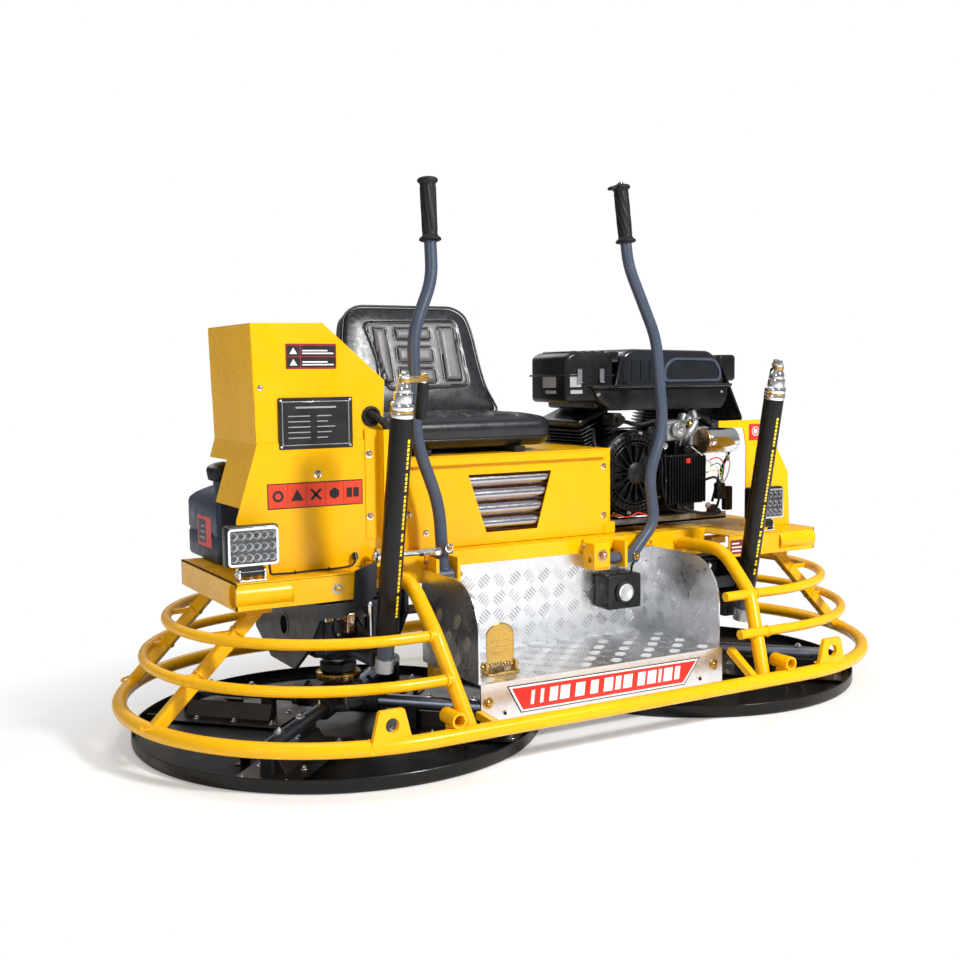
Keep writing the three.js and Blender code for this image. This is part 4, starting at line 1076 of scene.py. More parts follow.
def work_light(name):
    x, low = LAMP_X[name], LAMP_Z + 16
    high, half = low + LAMP_H, LAMP_W / 2
    b = Piece(f"{name}_lamp_bracket", CHROME)
    b.block(x - 30, x + 30, LAMP_Y - 16, LAMP_Y + 16, TRAY_Z1 + 0.3, TRAY_Z1 + 4)
    for d in (-30, 26.5):
        b.prism(rounded(LAMP_Y - 11, TRAY_Z1 + 1, LAMP_Y + 11, LAMP_Z + 11, 8), x + d, x + d + 3.5, "yz",
                holes=[arc(LAMP_Y, LAMP_Z, 4.6, 0, 340, 17)])
    b.bolt((x - 30, LAMP_Y, LAMP_Z), (-1, 0, 0), 5)
    b.bolt((x + 30, LAMP_Y, LAMP_Z), (1, 0, 0), 5)
    b.bolt((x, LAMP_Y, TRAY_Z1 + 4), (0, 0, 1), 3.2)
    b.done("chassis", [f"{name}_light_bracket"], bevel=0.6)
    p = Piece(f"{name}_lamp_housing", BLACK)
    turn = Matrix.Translation((x, 0, (low + high) / 2)) @ Matrix.Rotation(math.radians(90), 4, "X")
    p.soft_block(-half, half, -LAMP_H / 2, LAMP_H / 2, -LAMP_Y - 12, -LAMP_Y + 16, 5, turn)
    for k in range(9):
        at = x - half + 12 + 11.75 * k
        p.block(at - 1.6, at + 1.6, LAMP_Y + 8, LAMP_Y + 20, low + 7, high - 7)
    p.prism([(x - 25, LAMP_Z - 6), (x + 25, LAMP_Z - 6), (x + 25, low + 3), (x - 25, low + 3)],
            LAMP_Y - 7, LAMP_Y + 7)
    p.rod((x - 26, LAMP_Y, LAMP_Z), (x + 26, LAMP_Y, LAMP_Z), 8)
    p.use(CHROME)
    outer = rounded(x - half + 3, low + 2, x + half - 3, high - 5, 8)
    inner = rounded(x - half + 8, low + 7, x + half - 8, high - 10, 5)
    p.prism(outer, LAMP_Y - 21, LAMP_Y - 12, holes=[inner])
    p.prism(inner, LAMP_Y - 12.8, LAMP_Y - 11.5)
    columns, rows = 6, 3
    step_x, step_z = (LAMP_W - 16) / columns, (LAMP_H - 17) / rows
    for i in range(columns):
        for j in range(rows):
            cx, cz = x - half + 8 + step_x * (i + 0.5), low + 7 + step_z * (j + 0.5)
            p.use(CHROME)
            p.lathe([(2.6, 0), (8.0, 6.5), (8.6, 6.5), (8.6, -0.6), (2.6, -0.6)],
                    (cx, LAMP_Y - 12.6, cz), (0, -1, 0), 20, looped=True)
            p.use(LED).ball((cx, LAMP_Y - 13.2, cz), 2.7, 0.7, (0, 1, 0), 14)
    p.use(CLEAR).prism(inner, LAMP_Y - 20.5, LAMP_Y - 19.2)
    p.done(f"{name}_light", [f"{name}_work_light"], bevel=0.5)


for side_name, _ in SIDES:
    work_light(side_name)


# ---- foot controls -----------------------------------------------------------------------------
def foot_lamp():
    p = Piece("foot_lamp_body", BLACK)
    turn = Matrix.Rotation(math.radians(90), 4, "X")
    p.soft_block(154, 260, 240, 330, 121, 181, 6, turn)
    x, z, y = 206, 284, -181
    p.use(CASTING).lathe([(30, 0), (30, 5), (26, 9), (23, 9), (23, 2)], (x, y, z), (0, -1, 0), 40)
    p.use(CHROME).lathe([(22.8, 7), (18, 2), (8, -6), (3, -8), (3, -9.5), (22.8, -9.5)], (x, y - 1, z),
                        (0, -1, 0), 36)
    p.use(GREY).ball((x, y + 3, z), 5, 0.8, (0, 1, 0), 16)
    p.use(CLEAR).lathe([(22.5, 5.5), (21, 7.4), (14, 8.6), (0, 9)], (x, y, z), (0, -1, 0), 36)
    p.use(CASTING)
    for dx in (-46, 46):
        for dz in (-38, 38):
            p.ball((207 + dx, -181, 285 + dz), 3.4, 0.5, (0, 1, 0), 12)
    p.use(RUBBER).tube(flowing([(250, -150, 330), (256, -146, 345), (268, -138, 350), (286, -128, 352)]),
                       3.2, 12)
    p.done("chassis", ["foot_lamp"], bevel=0.6)


def foot_pedal():
    x, y, z = -250, -318, 182
    p = Piece("pedal_plate", GOLD)
    p.rod((x - 43, y, z), (x + 43, y, z), 5)
    top = z + 68
    outline = [(x - 35, z - 2), (x + 35, z - 2)] + arc(x, top, 35, 0, 180, 16)
    squashed = [(px, pz if pz < top else top + (pz - top) * 0.8) for px, pz in outline]
    p.prism(squashed, y - 2.2, y + 1.2)
    p.tube([(px, y - 1, pz) for px, pz in squashed[1:]], 2.2, 10)
    for k in (-1, 0, 1):
        p.block(x - 22, x + 22, y - 3.2, y - 2, z + 40 + 14 * k, z + 44 + 14 * k)
    p.done("pedal", ["foot_pedal"], bevel=0.4)
    q = Piece("pedal_hinge_parts", CHROME)
    spring = []
    for i in range(97):
        a = math.tau * i / 12
        spring.append((x - 30 + 60 * i / 96, y + 7.6 * math.cos(a), z + 7.6 * math.sin(a)))
    q.tube(spring, 1.1, 8)
    q.use(GOLD)
    for dx in (-30, 30):
        q.bolt((x + dx, y + 34, WELL_FLOOR + 5), (0, 0, 1), 5, GOLD, CHROME)
    q.bolt((x - 43, y, z), (-1, 0, 0), 5)
    q.bolt((x + 43, y, z), (1, 0, 0), 5)
    q.use(CHROME).block(x - 20, x + 20, y + 12, y + 24, WELL_FLOOR + 5, WELL_FLOOR + 16)
    q.done("chassis", bevel=0.4)


foot_lamp()
foot_pedal()


# ---- fuel can ----------------------------------------------------------------------------------
def fuel_can():
    x0, x1, y0, y1, z0, z1 = -790, -640, 40, 283, 410.5, 556
    p = Piece("fuel_can_body", CAN)
    sections = []
    for z, inset, front, back in (
        (z0, 9, 9, 9), (z0 + 3, 3, 3, 3), (z0 + 10, 0, 0, 0), (z0 + 60, 0, 0, 0), (z0 + 62, 2, 2, 2),
        (z0 + 70, 2, 2, 2), (z0 + 72, 0, 0, 0), (z1 - 12, 0, 0, 0), (z1 - 3, 3, 2, 4), (z1 + 8, 14, 8, 16),
        (z1 + 18, 30, 22, 36), (z1 + 26, 42, 40, 60), (z1 + 32, 50, 56, 84),
    ):
        ring = rounded(x0 + inset, y0 + front, x1 - inset, y1 - back, 14, 5)
        sections.append([(x, y, z) for x, y in ring])
    p.rings(sections)
    handle = bent([(-715, 120, z1 + 20), (-715, 130, z1 + 58, 16), (-715, 214, z1 + 50, 18),
                   (-715, 232, z1 + 8)], 8)
    p.tube(handle, 10, 16)
    p.rod((-742, 134, z1 + 12), (-752, 124.5, z1 + 50), 23, 20, 32)
    p.use(RED)
    p.prism(rounded(90, 444, 196, 516, 4), x0 - 0.5, x0 + 0.3, "yz")
    p.use(INK)
    p.prism(rounded(132, 452, 188, 508, 3), x0 - 0.8, x0 - 0.4, "yz")
    p.use(GREY)
    for k in range(3):
        p.prism(rounded(140, 462 + 14 * k, 180 - 8 * k, 466 + 14 * k, 1, 2), x0 - 1.1, x0 - 0.7, "yz")
    p.done("chassis", ["fuel_can"], bevel=0.8, sharp=50)
    turn = Matrix.Rotation(0.18, 4, "X") @ Matrix.Rotation(-0.21, 4, "Y")
    q = Piece("fuel_can_lid", PLASTIC, Matrix.Translation((-752, 124, z1 + 52)) @ turn)
    rings = []
    for r, z, tooth in ((28, 0.8, 0), (30, 2, 0.7), (30.2, 24, 0.7), (28, 29, 0.2), (24, 31, 0),
                        (6, 31.2, 0)):
        ring = []
        for k in range(96):
            a = math.tau * k / 96
            rr = r + tooth * (1 if k % 4 < 2 else -1)
            ring.append((rr * math.cos(a), rr * math.sin(a), z))
        rings.append(ring)
    q.rings(rings)
    q.done("can_cap", ["fuel_can_cap"], bevel=0, sharp=50)


fuel_can()


# ---- engine ------------------------------------------------------------------------------------
def smooth_outline(points, bend, steps=5):
    """A closed outline in a plane whose corners are rounded."""
    loop = [points[-1], *points, points[0]]
    path = []
    for a, b, c in zip(loop, loop[1:], loop[2:]):
        a, b, c = (Vector((p[0], p[1], 0)) for p in (a, b, c))
        reach = min(bend, (a - b).length / 2.2, (c - b).length / 2.2)
        start, end = b + (a - b).normalized() * reach, b + (c - b).normalized() * reach
        for i in range(steps + 1):
            t = i / steps
            q = start * (1 - t) ** 2 + b * 2 * t * (1 - t) + end * t * t
            path.append((q.x, q.y))
    return path


def shell_along_y(p, outline, y0, y1, inset, steps=4):
    """A moulded cover: its outline in X-Z shrinks towards both ends along Y in a rounded rim."""
    cx = sum(x for x, _ in outline) / len(outline)
    cz = sum(z for _, z in outline) / len(outline)
    width = max(x for x, _ in outline) - cx
    stations = []
    for i in range(steps + 1):
        a = math.radians(90 * i / steps)
        stations.append((y0 + inset * (1 - math.cos(a)), inset * (1 - math.sin(a))))
    stations += [(y0 + y1 - y, d) for y, d in reversed(stations)]
    rings = []
    for y, d in stations:
        k = 1 - d / width
        rings.append([(cx + (x - cx) * k, y, cz + (z - cz) * k) for x, z in outline])
    p.rings(rings)


def engine_block():
    p = Piece("engine_castings", ENGINE)
    for x in (300, 560):
        p.soft_block(x, x + 50, 40, 330, 420.6, 452, 4)
    p.soft_block(292, 638, 64, 318, 440, 604, 12)
    p.soft_block(300, 630, 50, 66, 446, 470, 5)
    for k in range(8):
        p.block(306 + 42 * k, 311 + 42 * k, 56, 70, 470, 596)
    for way, cx in ((-1, 345), (1, 618)):
        tilt = Matrix.Translation((cx, 190, 604)) @ Matrix.Rotation(math.radians(22 * way), 4, "Y")
        p.soft_block(-46, 46, -92, 92, 0, 130, 10, tilt)
        for k in range(11):
            p.soft_block(-64, 64, -116, 116, 12 + 10 * k, 15 + 10 * k, 1.5, tilt)
        p.soft_block(-56, 56, -104, 104, 118, 140, 8, tilt)
    p.use(STEEL)
    for x in (310, 620):
        for z in (480, 560):
            p.bolt((x, 62, z), (0, -1, 0), 6, STEEL, STEEL)
    p.use(ALLOY)
    for y0, y1 in ((18, 44), (334, 346)):
        p.block(262, 718, y0, y1, 421, 427)
        p.block(262, 718, y0, y0 + 5, 421, 441)
        p.block(262, 718, y1 - 5, y1, 421, 441)
    p.use(GOLD)
    p.bolt((343, 40, 459), (0, -1, 0), 9, GOLD, COPPER)
    p.rod((343, 56, 459), (343, 38, 459), 7)
    for x in (280, 470, 700):
        p.bolt((x, 31, 441), (0, 0, 1), 6, STEEL, STEEL)
    p.done("chassis", ["engine_block"], bevel=0.6)


def fan_housing():
    p = Piece("fan_housing", ENGINE)
    x, z = CRANK_X, CRANK_Z
    p.lathe([(118, -61), (118, -14), (114, -6), (104, -1), (92, 0), (90, -4), (90, -61)], (x, 0, z),
            (0, -1, 0), 72, True)
    p.lathe([(92, -60), (92, -12), (30, -10), (0, -9)], (x, 0, z), (0, -1, 0), 64)
    for k in range(44):
        turn = Matrix.Translation((x, 0, z)) @ Matrix.Rotation(math.tau * k / 44, 4, "Y")
        p.block(78, 108, -3, 10, -1.3, 1.3, turn)
    for k in range(16):
        turn = Matrix.Translation((x, 0, z)) @ Matrix.Rotation(math.tau * k / 16, 4, "Y")
        p.block(26, 76, -6, 10, -1.6, 1.6, turn)
    p.lathe([(30, -10), (30, 6), (26, 9), (0, 9)], (x, 0, z), (0, -1, 0), 40)
    for r in (118, 106, 94, 84):
        p.use(ENGINE)
        p.torus((x, -1 - (118 - r) * 0.1, z), (0, 1, 0), r - 1, 1.9, 72)
    p.use(STEEL)
    for k in range(6):
        a = math.radians(60 * k + 20)
        p.bolt((x + 111 * math.cos(a), 2, z + 111 * math.sin(a)), (0, -1, 0), 4.5, STEEL, STEEL)
    p.done("chassis", ["engine_fan_housing"], bevel=0.5)


def top_cover():
    p = Piece("blower_cover", COVER)
    outline = smooth_outline([(332, 745), (690, 745), (711, 800), (700, 873), (660, 905), (378, 910),
                              (346, 893), (323, 800)], 18)
    shell_along_y(p, outline, 22, 330, 14)
    p.soft_block(236, 722, -2, 40, 803, 812, 3)
    skirt = smooth_outline([(242, 803), (718, 803), (712, 768), (694, 742), (300, 742), (266, 766)], 10)
    p.use(PLASTIC)
    shell_along_y(p, skirt, 10, 60, 8)
    p.use(COVER)
    window = smooth_outline([(488, 818), (696, 818), (698, 850), (672, 884), (520, 886), (490, 862)], 18)
    inner = smooth_outline([(496, 825), (688, 825), (690, 848), (668, 877), (524, 879), (498, 858)], 14)
    p.use(SLATE).prism(window, 17.5, 23, holes=[inner])
    p.use(COVER).prism(inner, 20.5, 23)
    for k in range(4):
        p.block(350 + 30 * k, 366 + 30 * k, 19.5, 24, 822, 878)
    p.use(PLASTIC)
    p.soft_block(724, 788, 60, 150, 818, 894, 8)
    for k in range(5):
        p.block(722, 790, 66 + 17 * k, 72 + 17 * k, 824, 888)
    p.use(STEEL)
    for x, z in ((262, 788), (480, 752), (690, 788)):
        p.bolt((x, 12, z), (0, -1, 0), 4.5, STEEL, STEEL)
    p.done("chassis", ["engine_top_cover"], bevel=0.8)


def air_cleaner():
    p = Piece("air_box", PLASTIC)
    outline = smooth_outline([(161, 766), (319, 766), (319, 892), (302, 900), (180, 900), (161, 888)], 14)
    shell_along_y(p, outline, 20, 195, 12)
    lid = smooth_outline([(157.5, 836), (322, 836), (322, 841), (157.5, 841)], 2)
    shell_along_y(p, lid, 17, 198, 3)
    p.soft_block(269, 319, 44, 278, 746, 878, 8)
    p.use(COVER)
    for k in range(4):
        p.soft_block(190 + 30 * k, 210 + 30 * k, 34, 182, 892, 905, 4)
    p.soft_block(300, 342, 26, 180, 872, 903, 6)
    p.use(GREY)
    p.prism(rounded(66, 806, 132, 840, 3), 160.2, 161.6, "yz")
    p.prism(rounded(66, 790, 118, 799, 1.5), 160.2, 161.4, "yz")
    p.prism(rounded(174, 808, 210, 842, 2), 18.6, 20.4)
    p.prism(rounded(176, 790, 214, 800, 1.5), 19.0, 20.6)
    p.use(STEEL)
    for x in (196, 268):
        p.prism(rounded(x, 820, x + 14, 856, 3), 14, 18)
        p.rod((x, 13.5, 820), (x + 14, 13.5, 820), 2.2)
    p.done("chassis", ["air_cleaner"], bevel=0.7)


def exhaust():
    p = Piece("heat_shield", BLACK)
    p.prism([(716, 866), (728, 868), (806, 712), (801, 708), (725, 860), (718, 859)], 50, 330)
    p.prism([(801, 708), (806, 712), (806, 690), (802, 690)], 50, 330)
    slope = Matrix.Translation((767, 190, 790)) @ Matrix.Rotation(math.radians(63.5), 4, "Y")
    for k in range(5):
        p.soft_block(-50 + 22 * k, -40 + 22 * k, -100, 100, 0, 6, 2.5, slope)
    p.block(713, 724, 80, 300, 836, 868)
    p.use(STEEL)
    for y in (70, 310):
        p.bolt((738, y, 850), (0.9, 0, 0.43), 5, STEEL, STEEL)
    p.done("chassis", ["exhaust_heat_shield"], bevel=0.6)
    q = Piece("muffler", CASTING)
    q.lathe([(30, 0), (42, 4), (46, 14), (46, 190), (42, 200), (30, 204)], (742, 84, 655), (0, 1, 0), 40)
    q.torus((742, 98, 655), (0, 1, 0), 46, 2.4, 40)
    q.torus((742, 274, 655), (0, 1, 0), 46, 2.4, 40)
    q.tube(bent([(640, 190, 700), (700, 190, 700, 22), (742, 190, 668)]), 15, 16)
    q.tube(bent([(742, 280, 655), (742, 316, 655, 18), (790, 316, 640)]), 13, 16)
    q.done("chassis", bevel=0.6)


def oil_filter():
    p = Piece("oil_filter_can", CHROME)
    y, z = -20, 651
    p.lathe([(30, 0), (34, 2), (35, 5), (35, 92), (34, 98), (30, 103), (22, 106), (8, 107)], (604, y, z),
            (1, 0, 0), 48)
    for k in range(16):
        a = math.tau * k / 16
        at = Vector((0, 34.2 * math.cos(a), 34.2 * math.sin(a)))
        p.rod(Vector((694, y, z)) + at, Vector((706, y, z)) + at * 0.93, 2.4, sides=8)
    p.use(COPPER).lathe([(28, 0), (35, 0), (36, 3), (36, 10), (30, 12)], (594, y, z), (1, 0, 0), 40)
    p.use(ALLOY).rod((612, 8, z), (612, 69, z), 24)
    p.soft_block(578, 650, 10, 66, 612, 690, 7)
    p.done("chassis", ["oil_filter"], bevel=0.5)


def regulator():
    p = Piece("regulator_fins", BLACK)
    p.soft_block(459, 595, -28, -16, 478, 616, 4)
    for k in range(14):
        x = 463 + 9.6 * k
        p.block(x, x + 3, -42, -20, 482, 612)
    p.block(540, 575, -20, 61, 530, 550)
    p.use(RED).soft_block(520, 534, -45, -36, 592, 606, 2)
    p.use(PLASTIC).soft_block(500, 556, -30, -12, 462, 480, 4)
    p.use(STEEL)
    for x in (468, 586):
        p.bolt((x, -28, 547), (0, -1, 0), 5, STEEL, STEEL)
    p.done("chassis", ["voltage_regulator"], bevel=0.4)


def intake_and_wires():
    p = Piece("carburettor", ALLOY)
    p.soft_block(486, 548, -2, 58, 652, 712, 7)
    p.lathe([(20, 0), (24, 4), (24, 14), (19, 18)], (517, -2, 684), (0, -1, 0), 32)
    p.tube(bent([(560, 20, 726), (548, 16, 690, 22), (500, 30, 664, 20), (470, 60, 650)]), 13, 18)
    p.tube(bent([(600, 30, 732), (596, 8, 700, 26), (560, 4, 668, 18), (560, 40, 640)]), 12, 18)
    p.lathe([(14, 0), (17, 3), (17, 26), (12, 30)], (470, 6, 686), (0.2, -0.1, 1), 28)
    p.use(CHROME)
    p.rod((440, -6, 700), (600, -6, 716), 2.2, sides=10)
    p.rod((520, -14, 640), (548, -14, 722), 2.2, sides=10)
    p.bolt((517, -20, 684), (0, -1, 0), 7)
    p.bolt((560, -4, 716), (0, -1, 0), 6)
    p.bolt((486, 8, 640), (0, -1, 0), 6)
    helix = [(452 + 0.5 * i, -8 + 4.5 * math.cos(0.9 * i),
              702 + 0.05 * i + 4.5 * math.sin(0.9 * i)) for i in range(90)]
    p.tube(helix, 0.9, 6)
    p.use(WHITE).lathe([(6, 0), (12, 6), (12, 34), (6, 40)], (600, -26, 560), (0.3, 0, 1), 28)
    p.use(GOLD).lathe([(7, 0), (7, 10), (4, 12)], (548, -18, 700), (0, -1, 0), 6)
    p.use(ENGINE)
    p.soft_block(420, 470, 0, 60, 604, 700, 8)
    p.soft_block(556, 600, 6, 60, 560, 640, 8)
    for k in range(7):
        p.block(300 + 3 * k, 440, 30, 62, 690 - 11 * k, 693 - 11 * k)
    p.soft_block(300, 332, -4, 50, 700, 736, 6)
    p.rod((316, -6, 718), (316, -20, 718), 9, 12, 20)
    p.done("chassis", bevel=0.5)

    q = Piece("wiring", RUBBER)
    runs = (
        (RUBBER, 4.5, [(520, -30, 470), (548, -40, 456), (600, -42, 446), (660, -20, 444), (700, 30, 446)]),
        (RUBBER, 3.6, [(596, -24, 540), (624, -44, 548), (642, -46, 520), (640, -40, 482), (652, -14, 452)]),
        (RED, 1.9, [(598, -28, 590), (628, -44, 604), (654, -44, 586), (650, -44, 548), (640, -40, 520)]),
        (RED, 1.8, [(262, -8, 452), (300, -14, 460), (340, -16, 452), (372, -20, 462), (420, -16, 448)]),
        (GREEN, 1.8, [(600, -30, 574), (630, -48, 588), (648, -46, 560), (644, -42, 530)]),
        (WHITE, 1.8, [(604, -26, 600), (650, -46, 622), (676, -44, 590), (668, -42, 548), (646, -40, 524)]),
        (WHITE, 1.7, [(560, -16, 636), (600, -36, 600), (632, -46, 574), (640, -42, 534)]),
        (STRIPE, 1.5, [(604, -26, 566), (636, -44, 566), (654, -42, 540), (646, -40, 512)]),
        (RUBBER, 3.0, [(440, 10, 640), (452, -20, 600), (446, -30, 540), (470, -30, 470), (560, -34, 452)]),
        (RUBBER, 5.5, [(332, 20, 716), (380, -10, 704), (430, -16, 712), (470, -6, 700)]),
        (RUBBER, 5.0, [(264, 40, 690), (246, 10, 660), (252, -6, 600), (262, 0, 540), (280, 20, 470)]),
        (RUBBER, 4.0, [(650, -30, 700), (676, -30, 676), (716, -10, 640), (700, 20, 560), (676, 30, 470)]),
    )
    for look, r, points in runs:
        q.use(look).tube(flowing(points, 8), r, 12)
    q.use(PLASTIC)
    q.soft_block(628, 656, -52, -30, 486, 532, 4)
    q.soft_block(664, 690, -44, -22, 452, 520, 4)
    q.soft_block(612, 640, -36, -18, 440, 470, 4)
    q.use(STEEL)
    q.bolt((600, -40, 470), (0, -1, 0), 6)
    q.bolt((672, -40, 600), (0, -1, 0), 5)
    q.use(PLASTIC)
    for k in range(5):
        q.torus((642, -40, 534 + 7 * k), (0.1, 0, 1), 5, 1.2, 16)
    q.done("chassis", bevel=0.4)


engine_block()
fan_housing()
top_cover()
air_cleaner()
exhaust()
oil_filter()
regulator()
intake_and_wires()


# ---- drive -------------------------------------------------------------------------------------
def pulley(name, body, node, x, z, r, y0):
    """A belt pulley with five spokes on a shaft that starts at y0."""
    p = Piece(name, CASTING)
    y = 372
    profile = [(r - 26, -11), (r - 8, -11), (r, -12), (r, -8), (r - 5, -3), (r - 5, 3), (r, 8), (r, 12),
               (r - 8, 11), (r - 26, 11)]
    p.lathe(profile, (x, y, z), (0, 1, 0), 64, True)
    p.rod((x, y - 9, z), (x, y + 10, z), 24)
    for k in range(5):
        turn = Matrix.Translation((x, y, z)) @ Matrix.Rotation(math.radians(72 * k), 4, "Y")
        p.block(18, r - 20, -5, 5, -6, 6, turn)
    p.use(STEEL).rod((x, y0, z), (x, y + 16, z), 12)
    p.use(GOLD).bolt((x, y + 15.4, z), (0, 1, 0), 7)
    p.done(body, [node], bevel=0.6)


def drive_belt():
    y, x, r_top, r_low = 372, 200, 59, 79
    dx, dz = CRANK_X - x, CRANK_Z - TILT_Z
    lean, wrap = math.atan2(dz, dx), math.acos((r_low - r_top) / math.hypot(dx, dz))
    low, high = math.degrees(lean - wrap), math.degrees(lean + wrap)
    line = arc(CRANK_X, CRANK_Z, r_top, low, high, 28) + arc(x, TILT_Z, r_low, high, low + 360, 32)
    p = Piece("belt", RUBBER)
    rings = []
    count = len(line)
    for i, (px, pz) in enumerate(line):
        ax, az = line[(i + 1) % count][0] - line[i - 1][0], line[(i + 1) % count][1] - line[i - 1][1]
        length = math.hypot(ax, az)
        nx, nz = az / length, -ax / length
        rings.append([(px + nx * d, y + w, pz + nz * d)
                      for d, w in ((-3, -5.5), (-3, 5.5), (4.5, 8.5), (4.5, -8.5))])
    p.rings(rings, looped=True)
    p.done("chassis", ["drive_belt"], bevel=0.5)


pulley("engine_drive_pulley", "engine_pulley", "engine_pulley", CRANK_X, CRANK_Z, 55, 321)
pulley("input_drive_pulley", "input_pulley", "input_pulley", 200, TILT_Z, 75, 24)
drive_belt()


# ---- trowel gearboxes and rotors ---------------------------------------------------------------
def trowel_gearbox(name, s):
    c = s * ROTOR_X
    p = Piece(f"{name}_gearbox_case", DARK_SLATE)
    p.soft_block(c - 94, c + 94, -81, 81, 191, 322, 12)
    p.soft_block(c - 95, c + 95, -82, 82, 318, 332, 5)
    p.lathe([(44, 172), (54, 176), (62, 194), (62, 200)], (c, 0, 0), (0, 0, 1), 44)
    for k in range(4):
        p.block(c - 70 + 42 * k, c - 64 + 42 * k, -85, 85, 200, 300)
    p.soft_block(c - 24, c + 24, -240, -78, 198, 232, 5)
    p.prism([(-240, 232), (-80, 232), (-80, 300)], c - 4, c + 4, "yz")
    for f in (-1, 1):
        p.lathe([(46, 0), (46, 8), (40, 12), (20, 12)], (c, f * 80, TILT_Z), (0, f, 0), 44)
    if s < 0:
        p.sleeve((c - 136, 0, TILT_Z), (c + 136, 0, TILT_Z), 30, 22)
    else:
        p.use(STEEL).rod((c, -117, TILT_Z), (c, 117, TILT_Z), 11)
    p.use(STEEL)
    for dx in (-82, 0, 82):
        for dy in (-70, 70):
            p.bolt((c + dx, dy, 332), (0, 0, 1), 3.4, STEEL, STEEL)
    for f in (-1, 1):
        for k in range(6):
            a = math.radians(60 * k + 30)
            p.bolt((c + 37 * math.cos(a), f * 90, TILT_Z + 37 * math.sin(a)), (0, f, 0), 4, COPPER, CHROME)
    p.use(COPPER)
    p.soft_block(c - 28, c - 4, -122, -84, 250, 300, 5)
    p.lathe([(8, -9), (16, -9), (17, 0), (16, 9), (8, 9)], (c - 16, -104, 308), (0, 1, 0), 28, True)
    p.bolt((c - 16, -113, 308), (0, -1, 0), 7, GOLD, CHROME)
    p.bolt((c - 16, -122, 272), (0, -1, 0), 6, GOLD, CHROME)
    p.bolt((c - 56, -84, 283), (0, -1, 0), 7, GOLD, CHROME)
    p.use(CHROME)
    p.rod((c + 40, -100, 230), (c + 40, -100, 310), 6)
    p.bolt((c + 40, -100, 310), (0, 0, 1), 7)
    p.done(f"{name}_gearbox", [f"{name}_gearbox"], bevel=0.8)


def rotor(name, s):
    p = Piece(f"{name}_spider", CASTING, Matrix.Translation((s * ROTOR_X, 0, 0)))
    p.lathe([(20, 50), (66, 52), (72, 58), (78, 64), (78, 82), (70, 88), (46, 99), (34, 112),
             (34, 120), (20, 121)], sides=56)
    p.use(STEEL).lathe([(20, 100), (20, 240)], sides=36)
    p.use(GOLD).lathe([(34, 118), (52, 120), (54, 124), (54, 136), (50, 139), (34, 140)], sides=48)
    p.use(CASTING)
    p.lathe([(24, 140), (44, 142), (44, 160), (24, 162)], sides=44)
    for turn in (45, 135, 225, 315):
        spin = Matrix.Rotation(math.radians(turn), 4, "Z")
        home = p.place
        p.place = home @ spin
        p.use(ARM).rod((60, 0, 70), (408, 0, 70), 17, 15.5, 28)
        p.rod((408, 0, 70), (416, 0, 70), 11, 9, 20)
        p.soft_block(200, 372, -16, 16, 60, 76, 4)
        p.use(CASTING)
        p.lathe([(24, 0), (27, 3), (27, 30), (22, 34)], (72, 0, 70), (1, 0, 0), 32)
        p.soft_block(82, 98, -8, 62, 64, 80, 4)
        p.rod((90, 54, 74), (60, 38, 118), 5, sides=14)
        p.use(BLADE).prism(rounded(120, -62, 455, 88, 5), 8.4, 11.8, "xy")
        p.prism([(14, 11), (40, 11), (18, 46), (14, 46)], 168, 392, "yz")
        p.use(CASTING)
        for x in (170, 380):
            p.block(x, x + 30, -13, 13, 11, 60)
        p.use(CHROME)
        for x in (150, 250, 350, 440):
            p.bolt((x, 60, 11.8), (0, 0, 1), 6)
            p.bolt((x, -40, 11.8), (0, 0, 1), 6)
        p.bolt((230, 0, 86), (0, 0, 1), 7)
        p.bolt((340, 0, 86), (0, 0, 1), 7)
        p.use(GOLD).rod((120, 0, 86), (120, 0, 96), 3.4, 2.4, 12)
        p.place = home
    p.done(f"{name}_rotor", [f"{name}_rotor"], bevel=0.6)


def float_pan(name, s):
    p = Piece(f"{name}_pan_disc", PAN, Matrix.Translation((s * ROTOR_X, 0, 0)))
    r, lip = PAN_R, PAN_LIP
    p.lathe([(0, 0), (r - 9, 0), (r - 4, 1.5), (r - 1, 5), (r, 9), (r, lip - 1.5), (r - 1, lip), (r - 3, lip),
             (r - 4, lip - 1.5), (r - 4, 10), (r - 6, 6), (r - 10, 4), (0, 4)], sides=144)
    for turn in (45, 135, 225, 315):
        home = p.place
        p.place = home @ Matrix.Rotation(math.radians(turn), 4, "Z")
        for x, y in ((300, -92), (420, 96)):
            p.use(BLADE).block(x, x + 44, y, y + 4, 3.5, 26)
            p.block(x, x + 44, y, y + 16 * (1 if y < 0 else -0.4), 22.6, 26)
            p.block(x, x + 44, y - 14, y + 2, 3.5, 7)
            p.use(CHROME).bolt((x + 12, y - 7, 7), (0, 0, 1), 4.5)
        p.place = home
    p.done(f"{name}_rotor", [f"{name}_float_pan"], bevel=0.3, sharp=30)


for side_name, side in SIDES:
    trowel_gearbox(side_name, side)
    rotor(side_name, side)
    float_pan(side_name, side)


# ---- seat --------------------------------------------------------------------------------------
SEAT_X = -155
REST_TILT = Matrix.Translation((SEAT_X, 262, 735)) @ Matrix.Rotation(math.radians(-16), 4, "X")


def smooth_step(value, low, high):
    t = min(1, max(0, (value - low) / (high - low)))
    return t * t * (3 - 2 * t)


